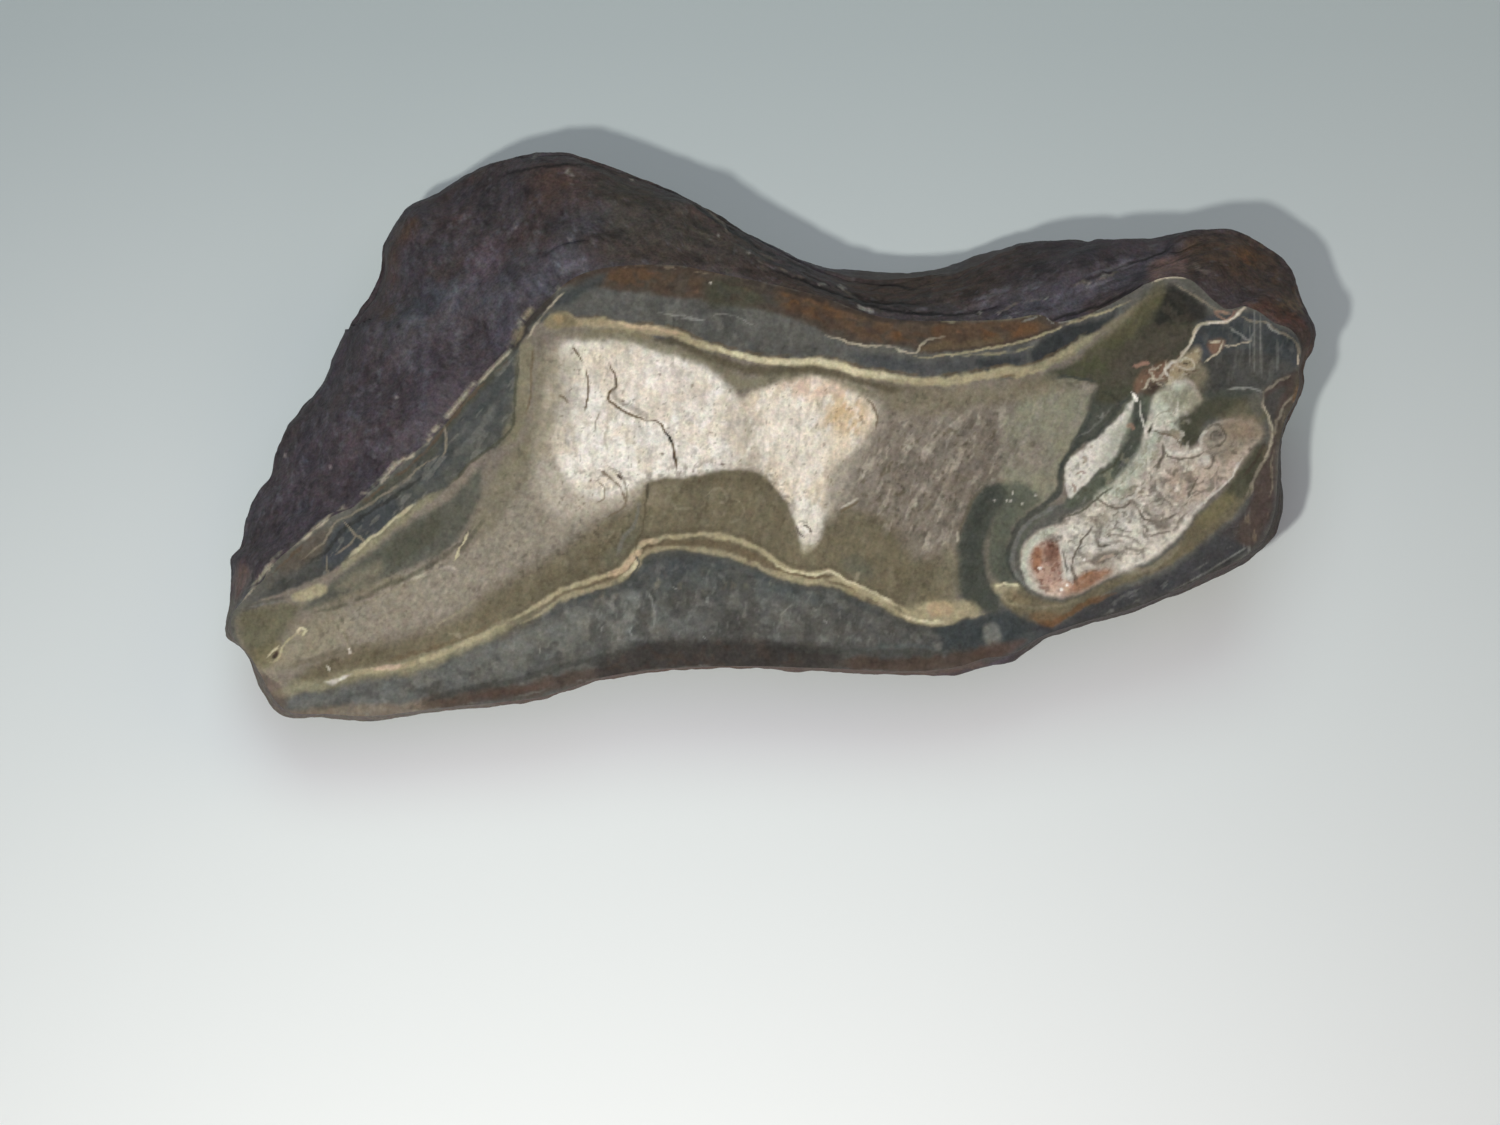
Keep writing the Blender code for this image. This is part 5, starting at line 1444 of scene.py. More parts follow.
BOTTOM_BAND = (
    area("tan foot, left", "286,712 330,706 400,704 440,698 440,708 380,718 300,722", "brown_pale", 4,
     0.55),
    line("brown rim, left", "412,708 440,702 470,698 500,693 540,687 580,678 612,668", "rust_dark", 16,
     0.75, soft=0.5),
    line("rust on the rim, left", "440,702 480,697 520,690 560,683", "rust_red", 5, 0.5, broken=0.35),
    line("dark line over the rim, left", "424,702 442,696 470,690 500,684 530,676 560,668 600,656 "
     "640,648", "slate_deep", 6, 0.75, soft=0.6),
    area("black-brown patch", "596,664 620,652 650,643 700,640 790,643 840,650 830,668 740,672 680,672 "
     "600,682", "black_brown", 8, 0.7),
    blobs("brown spots of the patch", "600,664 640,646 700,640 780,642 800,660 740,668 640,672",
     "rust_dark", 8, 0.2, 0.35, 4),
    line("dark line over the rim, right", "780,644 820,650 860,650 900,652 950,655", "slate_deep", 5,
     0.6, soft=0.6),
    line("red-brown rim, right", "836,662 870,664 910,666 960,660 1000,652", "rust_dark", 16, 0.8,
     soft=0.5),
    line("blue line over it", "860,648 900,646 940,650", "steel", 4, 0.5),
    line("pale rim", "300,716 400,712 500,700 600,678 700,667 840,670 920,674", "slate_pale", 1.8, 0.4,
     broken=0.5),
    line("scratch", "614,594 612,604 613,613", "slate_pale", 4, 0.8),
    line("scratch", "648,592 652,604 655,628", "scratch", 2, 0.6),
    line("scratch", "634,626 632,632 634,636", "scratch", 1.8, 0.6),
    line("scratch", "604,624 602,630", "scratch", 1.8, 0.5),
    line("scratch", "671,586 678,589", "scratch", 1.4, 0.7),
    line("scratch", "748,602 744,618", "slate_pale", 3.4, 0.6),
    line("scratch", "708,596 708,602", "scratch", 3, 0.5),
    line("scratch", "812,608 816,612", "scratch", 3, 0.5),
    line("scratch", "792,606 780,614", "scratch", 2, 0.5),
    line("scratch", "824,620 828,624", "scratch", 2, 0.6),
    line("scratch", "704,636 708,640", "scratch", 1.6, 0.6),
    line("scratch", "540,648 541,653", "scratch", 1.8, 0.6),
)

CRACKS = (
    line("fine crack", "574,345 579,354 583,361", "brown_line", 2, groove=0.08),
    line("fine crack", "586,368 589,380 588,398 586,410", "brown_line", 1.8, groove=0.08),
    line("fine crack", "608,361 614,372 616,386 610,393 609,399 620,408 635,417 649,421", "brown_line",
     2.6, groove=0.1, ends=0.08),
    line("shade by the crack", "614,384 616,396 626,404 640,412 650,419", "marble_grey", 5, 0.6),
    line("dark start", "614,374 616,386", "brown_dark", 2.2, 0.6),
    line("crack goes on", "649,421 658,422 665,433 672,445 676,460 679,470", "brown_line", 2.4,
     groove=0.12, ends=0.1),
    line("deep part", "664,431 668,438 672,446", "ink", 3, groove=0.15, ends=0.2),
    line("deep part", "673,452 676,462", "brown_dark", 2, groove=0.1),
    line("arc", "597,470 612,480 621,490 626,504", "brown_line", 2.2, 0.8, groove=0.08, broken=0.1),
    line("arc", "606,466 618,472 624,484 627,498 622,510 612,516 602,518", "brown_line", 2, 0.6,
     groove=0.06, broken=0.15),
    line("dark tick", "616,474 622,482", "brown_dark", 2.6, ends=0.3, groove=0.1),
    line("small arc", "597,482 603,488 604,498 598,504", "brown_line", 2, 0.7),
    line("tick", "561,393 570,401", "brown_line", 2.2, 0.8),
    line("tick", "601,411 597,424 598,432", "brown_line", 1.6, 0.6),
    line("tick", "606,430 608,452", "chalk_grey", 3, 0.7),
    line("tick", "568,420 576,444 578,460", "chalk_grey", 4, 0.6),
    line("dark upright", "647,486 648,500", "ink", 2.6, 0.7, groove=0.1),
    line("crack down to the fault", "648,486 645,510 643,525 637,540 632,555", "olive_dark", 2.2, 0.8,
     groove=0.1),
    line("grey side of the crack", "640,500 634,524 622,540 616,556", "slate_pale", 4, 0.5),
    line("fault below", "633,556 637,563 634,572 629,580", "navy_soft", 2.4, 0.8),
    line("edge of the right chalk", "864,397 873,407 878,419 876,430", "brown_line", 2.2, 0.75,
     groove=0.06),
    line("crack", "840,512 850,507 862,500", "brown_line", 1.8, 0.7, groove=0.06),
    line("light side of the crack", "842,508 852,503 860,498", "bone", 2, 0.5),
    line("ring, left arc", "795,526 797,532 801,536 804,538", "brown_dark", 2.2, 0.8, groove=0.08),
    line("ring, right arc", "803,525 808,528 811,533", "brown_dark", 2.6, 0.85, groove=0.08),
    line("ring, top", "797,523 802,521 808,524", "marble_grey", 1.8, 0.6),
    line("ring, light middle", "800,529 804,530 807,533", "white", 3, 0.7),
    dots("dark pits in the chalk", "591,481 660,375 662,454 723,465 694,470 700,480 625,400", "brown",
     1.6, 0.8, groove=0.1),
)

RIM_LINES = (
    line("pink edge of the crack", "235,603 245,597 255,583 262,575 270,562 283,550 295,544 305,538 "
     "320,527 335,515 345,508 355,497 370,490 385,478 395,465 410,458 425,445 440,425 455,410 465,395 "
     "480,380 490,370 505,355 512,345 518,330 525,315 532,308", "vein", 3.6, 0.8, broken=0.38, soft=0.6),
    line("brown in the crack", "262,578 300,544 345,512 385,482 425,449 465,399 505,359", "brown", 3,
     0.7, broken=0.4, shift=-3),
    line("inner crack", "300,560 315,548 325,540 335,525 345,518 360,508 380,497 400,485 420,468 "
     "440,456", "vein_dim", 2.2, 0.9, broken=0.15),
    line("dark side of the inner crack", "305,562 330,542 350,520 385,499 425,471", "ink", 3.5, 0.6,
     shift=-3),
    line("cross crack", "345,520 352,528 358,535 368,542", "vein_dim", 2),
    line("cross crack", "358,535 350,545 335,555", "vein_dim", 2, 0.8),
    line("cross crack", "325,555 328,580", "vein_dim", 1.8, 0.7),
    line("cross crack", "445,425 448,440 443,458", "vein_dim", 2),
    line("dark gap", "512,352 524,330 540,312 556,294", "black_brown", 9, 0.85, groove=0.05),
    line("light crumbs by the gap", "519,340 523,326 530,314 538,306 548,296 562,286", "vein", 2.2, 0.7,
     broken=0.5),
    line("wide crumbs by the gap", "516,344 522,328 528,316 534,308", "vein_body", 6, 0.5, broken=0.4,
     soft=0.6),
    line("light crumbs by the gap", "528,338 540,322 552,306 566,292", "vein", 2, 0.7, broken=0.45),
)

# The layers of the cut under its grain, and the fine lines over it
FACE_LAYERS = (
    OUTER_BAND, TOP_BAND, INNER_BODY, CHALK, OLIVE_PATCHES, RIGHT_PANEL, TOP_RIGHT, UNDER_MARBLE,
    LENS, MARBLE, RIGHT_RIM, BORDERS, LEFT_END, BOTTOM_BAND,
)
FACE_LINES = (CRACKS, RIM_LINES)

# The kinds of layers that have a noise of their own, and the colour under all layers of the cut
SEEDED_KINDS = ("line", "blobs")
FACE_GROUND = "5E5D57"

# Zones by their grain: name, outline, softness, and the strengths of the grain's parts
GRAIN_PARTS = ("blotches", "flecks", "pits", "slanted strokes", "upright strokes")
GRAIN_ZONES = (
    ("bottom band", "280,700 345,676 430,658 500,632 560,598 625,577 640,560 700,550 760,563 800,584 "
     "850,590 905,620 985,618 1045,612 1060,640 1000,672 700,680 300,720", 6.0,
     (1.3, 0.8, 0.3, 0.2, 0.25)),
    ("rust band", "560,284 640,264 730,275 825,297 900,320 1010,318 1062,322 1000,346 915,350 "
     "855,345 770,312 660,295", 6.0, (1.0, 0.8, 0.3, 0.0, 0.5)),
    ("left speckle", "300,660 350,600 420,560 470,520 520,450 540,440 600,500 650,490 640,530 "
     "560,560 480,600 400,640 330,670", 14.0, (0.7, 0.8, 0.6, 0.6, 0.2)),
    ("right speckle", "866,430 900,410 960,396 1020,388 1056,400 1040,450 1000,490 972,510 950,560 "
     "900,530 850,520 830,500 852,470", 18.0, (0.8, 1.0, 0.7, 0.9, 0.4)),
    ("left chalk", "552,352 600,338 660,350 720,376 742,404 744,462 700,476 640,486 600,500 "
     "566,486 552,420", 8.0, (0.5, 0.6, 0.45, 0.0, 0.9)),
    ("right chalk", "744,404 790,378 840,376 872,400 876,436 846,470 822,524 798,520 770,484 "
     "744,462", 8.0, (0.5, 0.6, 0.4, 0.6, 1.0)),
    ("marble", "1020,560 1035,533 1085,505 1128,470 1150,425 1168,386 1190,400 1184,444 1236,420 "
     "1262,432 1237,470 1198,518 1145,560 1085,588 1040,596", 4.0, (0.8, 1.1, 0.7, 0.4, 0.3)),
    ("lens", "1132,399 1100,435 1072,455 1065,480 1076,496 1095,475 1117,455 1130,420", 3.0,
     (0.4, 0.7, 0.7, 0.4, 0.2)),
)
GROUND_GRAIN = (0.9, 0.6, 0.35, 0.5, 0.5)

# The light and the dark of the cut's grain: part, strength, blob size, seed, angle, and stretch
FACE_GRAIN = (
    ("blotches", 0.05, 34.0, 11, 0.0, 1.0),
    ("blotches", 0.08, 11.0, 12, 0.0, 1.0),
    ("flecks", 0.13, 3.6, 13, 0.0, 1.0),
    ("slanted strokes", 0.11, 4.0, 14, 62.0, 4.0),
    ("upright strokes", 0.06, 3.4, 15, 86.0, 4.0),
)
# Warm and cool patches: strength, blob size, and seed
FACE_WARMTH = (0.014, 15.0, 16)

# How strongly a grain colours the stone, and for the cut and the rind how much blue its warm
# patches lose and the least and the most that it multiplies a colour with
GRAIN_CONTRAST = 1.5
FACE_TINT = (1.3, 0.2, 2.0)
RIND_TINT = (1.0, 0.25, 2.2)

# Spots of the cut: blob size, seed, the level that the grain has to reach, and crispness
CHALK_STROKES = (3.6, 21, 0.05, 2.0)
DARK_SPOTS = (4.4, 17, 0.42, 3.5)
DARK_CLUSTERS = (30.0, 18, -0.6, 1.0)
PALE_SPOTS = (4.4, 19, 0.45, 3.5)

# Angle and stretch of the strokes in the chalk, the strengths of the spots, the depth of the dark
# ones in millimetres, and the strength of the pits where pale ones begin
CHALK_STROKE_TURN = (84.0, 3.5)
CHALK_STROKE_STRENGTH = 0.12
DARK_SPOT_STRENGTH = 0.5
DARK_SPOT_DEPTH = 0.03
PALE_SPOT_STRENGTH = 0.16
PALE_SPOTS_FROM = 0.4
PALE_SPOT_COLOUR = "D5CFC2"

# Swirls of the marble: blob size, seed, seed of their gaps, lines for each step of the grain, line
# width as a share, and strength. Then how they bend and where they stop
SWIRLS = ((26.0, 45, 47, 3.0, 0.14, 0.26), (15.0, 46, 48, 2.2, 0.18, 0.16))
SWIRL_COLOUR = "6B6355"
SWIRL_DEPTH = 0.02
SWIRL_BEND = (6.0, 18.0, (41, 43))
SWIRL_GAP_SIZE = 22.0
SWIRL_GAP_LEVEL = -0.291667
SWIRL_GAP_CRISPNESS = 1.2


def paint_layers(canvas, layers, palette):
    """Paints the layers of one region in their order."""
    for number, (kind, shape, colour, numbers, settings) in enumerate(layers):
        seed = {"seed": number} if kind in SEEDED_KINDS else {}
        getattr(canvas, kind)(shape, palette[colour], *numbers, **settings, **seed)


def grain_strengths(canvas):
    """The strength of each part of the grain at the points of the cut, and each zone's share."""
    strengths = np.tile(GROUND_GRAIN, (len(canvas.raw), 1))
    zones = {}
    for name, outline, soft, zone in GRAIN_ZONES:
        zones[name] = canvas.area_share(outline, soft)
        strengths += zones[name][:, None] * (np.array(zone) - strengths)
    return dict(zip(GRAIN_PARTS, strengths.T)), zones


def grain_tint(light, warmth, blue_loss, least, most):
    """What a grain multiplies the colour with: light and dark, and warm and cool."""
    tint = np.column_stack((light + warmth, light, light - blue_loss * warmth))
    return np.clip(1.0 + GRAIN_CONTRAST * tint, least, most)


def add_swirls(canvas, share):
    """Thin wandering lines, like the level lines of a map."""
    winding = bent(canvas.points, *SWIRL_BEND)
    for size, seed, gap_seed, steps, width, strength in SWIRLS:
        field = grain(winding, size, seed, 3) * steps
        line = 1 - smooth_step(np.abs(field - np.round(field)) / width)
        line *= spots(canvas.points, SWIRL_GAP_SIZE, gap_seed, SWIRL_GAP_LEVEL, SWIRL_GAP_CRISPNESS)
        amount = (strength * share * line)[:, None]
        canvas.colour += amount * (linear(SWIRL_COLOUR) - canvas.colour)
        canvas.height -= SWIRL_DEPTH * share * line


def add_grain(canvas):
    """The stone's own grain: blotches, flecks, pits, and short slanted and upright strokes."""
    amounts, zones = grain_strengths(canvas)
    points = canvas.raw
    light = sum(
        strength * amounts[part] * grain(turned(points, degrees, stretch), size, seed, 2)
        for part, strength, size, seed, degrees, stretch in FACE_GRAIN
    )
    strength, size, seed = FACE_WARMTH
    warmth = strength * amounts["blotches"] * grain(points, size, seed, 2)
    canvas.colour *= grain_tint(light, warmth, *FACE_TINT)
    chalk = zones["left chalk"] + zones["right chalk"]
    strokes = chalk * amounts["upright strokes"] * spots(turned(points, *CHALK_STROKE_TURN), *CHALK_STROKES)
    canvas.colour *= 1.0 - CHALK_STROKE_STRENGTH * strokes[:, None]
    dark = amounts["pits"] * spots(points, *DARK_SPOTS) * spots(points, *DARK_CLUSTERS)
    canvas.colour *= 1.0 - DARK_SPOT_STRENGTH * dark[:, None]
    canvas.height -= DARK_SPOT_DEPTH * dark
    pale = spots(points, *PALE_SPOTS) * np.maximum(amounts["pits"] - PALE_SPOTS_FROM, 0)
    canvas.colour += PALE_SPOT_STRENGTH * pale[:, None] * (linear(PALE_SPOT_COLOUR) - canvas.colour)
    add_swirls(canvas, zones["marble"])


def paint_face(points):
    """The canvas of the cut with all its colour and height."""
    canvas = Canvas(points, FACE_GROUND)
    for layers in FACE_LAYERS:
        paint_layers(canvas, layers, PALETTE)
    add_grain(canvas)
    for layers in FACE_LINES:
        paint_layers(canvas, layers, PALETTE)
    return canvas


# Colours of the rind, as they look on a screen
RIND_PALETTE = {
    "umber": "4C4548", "umber_dark": "322D2F", "umber_red": "514340", "plum": "4C444B",
    "wine": "50474D", "violet": "514F58", "mauve": "66565E", "haze": "77767E",
    "bark": "483C37", "olive": "48413B", "rust": "5A4535", "rust_bright": "785436",
    "rust_red": "5B4036", "black": "1D1A1B", "speck": "A9A29C", "dust": "7B7268", "pink": "79605A",
    "slate": "504F54", "tan": "6C5E4C", "tip": "6C6865", "foot": "6A635B", "foot_brown": "5E5048",
    "foot_dark": "4C4744", "red_strip": "66514B", "dim": "3C363A",
}

# Layers of the rind under its grain, and the lines and flecks over it, written as for the cut
RIND_AREAS = (
    area("wine slope", "262,570 280,480 320,410 370,360 430,320 490,310 520,330 470,400 400,460 340,512 "
     "290,548 266,580", "wine", 24, 0.7),
    area("dark outer slope", "236,560 262,480 300,405 340,350 372,290 392,300 350,380 300,450 270,520 "
     "256,570", "umber", 20, 0.5),
    area("grey end of the left tip", "224,640 228,600 238,570 252,568 244,600 240,640", "tip", 5, 0.8),
    area("red strip at the tip", "232,600 235,576 244,560 250,570 244,586 238,600", "red_strip", 4, 0.7),
    area("slate on the upper slope", "380,330 400,300 450,280 520,256 570,256 556,275 520,300 470,310 "
     "410,345 380,360", "slate", 12, 0.5),
    area("violet on the hump", "500,285 520,255 560,240 600,250 580,265 545,290 515,330 495,350 490,310",
     "violet", 14, 0.7),
    area("violet ridge", "405,300 430,285 470,290 500,280 505,296 450,310 415,320", "violet", 12, 0.6),
    area("mauve patch", "466,276 480,244 498,236 504,262 486,288 466,290", "mauve", 10, 0.7),
    area("mauve patch, left", "440,215 455,200 470,215 458,235 442,235", "mauve", 12, 0.3),
    area("red-brown crown", "522,190 530,170 552,163 590,166 606,190 590,212 560,216 530,212",
     "umber_red", 14, 0.85),
    area("orange in the crown", "530,184 545,168 566,166 572,182 552,196 536,198", "rust_red", 10, 0.35),
    area("dark under the crown", "520,216 560,216 600,220 620,240 580,246 540,240", "umber_dark", 12,
     0.4),
    area("olive flank of the hump", "600,180 650,186 700,212 750,240 770,262 720,262 660,262 610,258 "
     "600,220", "olive", 16, 0.85),
    area("bark over the rim", "580,240 640,240 700,250 760,262 830,290 880,312 860,314 800,296 740,276 "
     "680,266 620,262 590,262", "bark", 10, 0.85),
    area("saddle", "830,272 880,282 940,274 1000,256 1040,246 1060,250 1000,290 940,306 890,306 850,296",
     "bark", 12, 0.85),
    area("red-brown outer strip", "690,200 710,214 744,240 730,244 704,226 686,212", "umber_red", 6,
     0.7),
    area("plum shoulder", "990,318 1020,300 1080,280 1140,262 1170,246 1160,266 1120,290 1080,308 "
     "1040,314", "violet", 9, 0.6),
    area("dark top of the shoulder", "1030,246 1100,244 1170,240 1130,262 1080,274 1020,294 1000,290",
     "dim", 14, 0.6),
    area("brown knob", "1180,240 1210,232 1250,238 1290,270 1296,300 1270,300 1240,290 1200,284 "
     "1180,270", "bark", 12, 0.8),
    area("rust on the knob", "1180,262 1186,242 1220,234 1260,242 1268,262 1240,268 1210,262", "rust",
     12, 0.5),
    area("orange spot", "1238,250 1250,248 1256,258 1250,264 1240,258", "rust_bright", 6, 0.6),
    area("pink patch", "1148,278 1150,264 1166,258 1184,262 1184,272 1164,276 1152,284", "pink", 5,
     0.85),
    area("rust-red rim, right", "1240,304 1262,298 1290,300 1306,322 1306,332 1284,324 1260,314",
     "rust_red", 6, 0.8),
    area("olive rim, right", "1274,302 1290,294 1302,300 1300,310 1286,310", "tan", 5, 0.6),
    area("brown right edge", "1300,330 1316,330 1310,352 1302,372 1296,372 1300,350", "bark", 5, 0.8),
    area("rust on the left shoulder", "398,236 404,222 414,216 422,226 412,238 402,244", "rust", 6, 0.7),
    area("rust under it", "386,262 390,240 400,240 398,260", "rust", 6, 0.4),
    area("rust spot", "378,316 384,304 394,306 390,320", "rust", 6, 0.5),
    blobs("dark veils of the slope", "236,560 300,405 380,290 440,200 520,170 600,180 600,250 520,330 "
     "400,460 290,548", "dim", 16, 0.05, 0.4, 10),
    blobs("haze of the slope", "300,450 380,300 440,220 520,220 600,240 560,300 500,330 400,400 330,440",
     "haze", 9, 0.45, 0.28, 14, crisp=2.5),
    blobs("upright streaks of the slope", "240,560 320,400 380,300 440,220 520,190 590,230 560,290 "
     "500,330 400,440 330,500", "haze", 4, 0.45, 0.25, 10, stretch=3, degrees=84, crisp=3.5),
    blobs("dark upright streaks", "240,560 320,400 380,300 440,200 520,170 600,180 590,250 500,340 "
     "400,450 300,540", "black", 4.4, 0.3, 0.28, 10, stretch=3, degrees=84, crisp=3.5),
    blobs("reddish veils", "380,320 420,240 480,200 540,170 600,180 580,230 500,290 420,340",
     "umber_red", 16, 0.2, 0.35, 12),
    blobs("strata of the hump's right side", "590,170 640,186 700,212 760,250 830,280 880,300 900,316 "
     "840,300 760,276 680,262 600,250", "dust", 4, 0.45, 0.2, 6, stretch=5, degrees=-27, crisp=3),
    blobs("dark strata of the hump", "590,170 640,186 700,212 760,250 830,280 880,300 900,316 840,300 "
     "760,276 680,262 600,250", "black", 4.4, 0.2, 0.3, 6, stretch=5, degrees=-25, crisp=3),
    blobs("dark strata of the shoulder", "880,290 960,266 1040,246 1170,240 1180,262 1120,290 1060,312 "
     "980,320 900,318", "black", 4.6, 0.15, 0.4, 6, stretch=5, degrees=14, crisp=3),
    blobs("pale strata of the shoulder", "900,310 980,290 1060,276 1150,256 1160,270 1100,298 1040,316 "
     "960,320", "haze", 4, 0.35, 0.4, 6, stretch=6, degrees=16, crisp=3),
    blobs("rust flecks of the knob", "1170,250 1210,234 1260,240 1296,280 1290,300 1240,292 1190,284",
     "rust", 7, 0.3, 0.4, 6),
    blobs("dark flecks of the knob", "1170,250 1210,234 1260,240 1310,300 1300,330 1240,296 1190,284",
     "umber_dark", 5, 0.2, 0.6, 6),
)

RIND_LINES = (
    line("black line on the hump's crown", "498,176 520,170 548,165 580,165 606,170", "black", 2.6, 0.8,
     broken=0.2),
    line("edge of the outer strip", "690,200 704,212 722,226 744,238 762,250 790,262 812,272", "black",
     3, 0.8, broken=0.15, groove=0.1),
    line("pale edge of the strip", "704,208 716,218 730,234", "dust", 2, 0.7, broken=0.2),
    line("saddle line", "760,266 800,280 830,292 860,302 880,308 905,314 940,315 980,312", "black", 3.2,
     0.85, groove=0.12),
    line("saddle line, upper", "860,284 890,286 920,292", "black", 2.4, 0.7, groove=0.1),
    line("saddle line, middle", "800,272 840,290 880,304 920,306 930,314", "black", 2, 0.6, broken=0.3,
     groove=0.1),
    line("shoulder crease", "1020,322 1050,320 1080,313 1104,304 1118,296 1140,288 1152,282", "black", 3,
     0.8, groove=0.12),
    line("shoulder ridge line", "1076,284 1100,276 1130,264 1152,256 1172,246", "black", 2.4, 0.7,
     broken=0.2, groove=0.1),
    line("knob line", "1172,244 1190,236 1208,250", "black", 2, 0.5, broken=0.3),
    line("pale crumbs, shoulder", "996,312 1020,302 1046,296 1080,284 1110,276 1124,268", "dust", 2.4,
     0.5, broken=0.6),
    line("pale crumbs, saddle", "725,236 750,252 790,274 820,283 842,290 866,306", "dust", 2.2, 0.55,
     broken=0.6),
    line("big fleck", "857,305 864,309 872,313", "speck", 4, 0.7),
    line("fleck", "838,286 844,290", "speck", 3, 0.5),
    line("fleck", "818,284 826,285", "speck", 2.2, 0.5),
    line("fleck", "564,172 574,175", "speck", 2.6, 0.45),
    line("ridge of haze", "380,312 400,322 420,318 440,305 456,292 470,288", "haze", 6, 0.3, broken=0.5),
    line("haze", "395,345 404,330 412,322", "haze", 7, 0.35, broken=0.3),
    line("haze", "448,300 456,290 452,306 446,314", "haze", 7, 0.35),
    line("haze", "556,274 570,266 580,262 584,272 574,280", "haze", 8, 0.35, broken=0.3),
    line("knob vein", "1190,262 1198,268 1208,274", "dust", 2.4, 0.5),
    line("pink rim of the knob", "1150,277 1160,269 1176,265 1192,269", "pink", 8, 0.6, broken=0.2,
     soft=0.7),
    line("rim crease, right", "1288,298 1300,306 1308,320", "tan", 3, 0.4, broken=0.4),
    line("foot, left", "231,604 228,632 240,646 250,657 258,676 268,694 276,706 290,716 330,717 370,718 "
     "440,710 500,704", "foot", 9, 0.9, ends=0),
    line("foot, middle", "500,704 545,698 600,680 660,671 740,668 820,670 920,673 985,660", "foot_brown",
     9, 0.9, ends=0),
    line("foot, right", "985,660 1040,639 1120,614 1200,583 1250,557 1268,538 1277,516 1280,480 "
     "1282,446", "foot_dark", 9, 0.9, ends=0),
    line("right side", "1282,446 1289,420 1297,402 1303,381 1301,370 1309,350", "foot_brown", 9, 0.9,
     ends=0),
    line("left fold", "345,350 352,330 372,318", "umber_dark", 6, 0.4),
    dots("white specks", "535,156 568,170 570,184 632,181 518,228 570,240 285,456 330,468 396,399 "
     "981,311 1000,312 1010,317 1045,297 1104,275 1092,282 720,236 750,252", "speck", 1.5, 0.55,
     soft=0.6),
)

# Patches of the whole rind: colour, blob size in metres, seed, and where and how crisply they start
RIND_PATCHES = (
    ("plum", 0.022, 31, 0.0, 2.0),
    ("bark", 0.018, 33, 0.15, 2.5),
    ("wine", 0.026, 35, 0.1, 2.0),
    ("slate", 0.012, 37, 0.35, 3.0),
    ("umber_red", 0.010, 39, 0.5, 3.0),
)
RIND_PATCH_STRENGTH = 0.7

# Rings below the outline over which the layers that the picture shows fade out
LAYERS_FADE = 1.5

# The rind's grain: strength, blob size in metres, seed, and how the places are squeezed. The
# finest stands in short upright streaks. Then its warm patches: strength, blob size, and seed
RIND_GRAIN = (
    (0.06, 0.0045, 51, (1.0, 1.0, 1.0)),
    (0.07, 0.0016, 53, (1.0, 1.0, 1.0)),
    (0.10, 0.0007, 55, (1.0, 0.5, 0.4)),
)
RIND_WARMTH = (0.03, 0.0030, 57)

# Dark pits and pale crumbs: blob size, seed, the level that the grain has to reach, and crispness
RIND_PITS = (0.0009, 59, 0.4, 3.0)
RIND_PIT_STRENGTH = 0.3
RIND_CRUMBS = (0.0007, 61, 0.68, 4.0)
RIND_CRUMB_STRENGTH = 0.2


def solid_grain(world, size, seed, octaves):
    """Smooth noise from -1 to 1 over places in space."""
    total = np.zeros(len(world))
    weight = 1.0
    reach = 0.0
    for octave in range(octaves):
        table = np.random.default_rng(seed + octave).uniform(-1.0, 1.0, (SOLID_TABLE,) * 3)
        scaled = world / (size / 2**octave) + SOLID_SHIFT
        cell = np.floor(scaled).astype(int)
        share = smooth_step(scaled - cell)
        value = np.zeros(len(world))
        for corner in range(8):
            step = np.array((corner & 1, (corner >> 1) & 1, corner >> 2))
            x, y, z = ((cell + step) % SOLID_TABLE).T
            value += table[x, y, z] * np.prod(np.where(step, share, 1 - share), axis=1)
        total += weight * value
        reach += weight * SOLID_REACH
        weight *= OCTAVE_SHARE
    return np.clip(total / reach, -1.0, 1.0)


def solid_spots(world, size, seed, level, crisp, octaves=2):
    """Spots in space where a grain rises over a level, from 0 to 1."""
    return smooth_step((solid_grain(world, size, seed, octaves) - level) * crisp)


def rind_ground(world):
    """The rind's colour before the layers that the picture shows: purple-brown, with rust."""
    colour = np.tile(linear(RIND_PALETTE["umber"]), (len(world), 1))
    for name, size, seed, level, crisp in RIND_PATCHES:
        share = RIND_PATCH_STRENGTH * solid_spots(world, size, seed, level, crisp, 3)
        colour += share[:, None] * (linear(RIND_PALETTE[name]) - colour)
    return colour


def add_rind_grain(colour, world):
    """Mottling, dark pits and a few pale crumbs over the whole rind."""
    light = sum(
        strength * solid_grain(world * np.array(squeeze), size, seed, 2)
        for strength, size, seed, squeeze in RIND_GRAIN
    )
    strength, size, seed = RIND_WARMTH
    warmth = strength * solid_grain(world, size, seed, 2)
    colour = colour * grain_tint(light, warmth, *RIND_TINT)
    colour *= 1.0 - RIND_PIT_STRENGTH * solid_spots(world, *RIND_PITS)[:, None]
    pale = RIND_CRUMB_STRENGTH * solid_spots(world, *RIND_CRUMBS)
    return colour + pale[:, None] * (linear(RIND_PALETTE["haze"]) - colour)


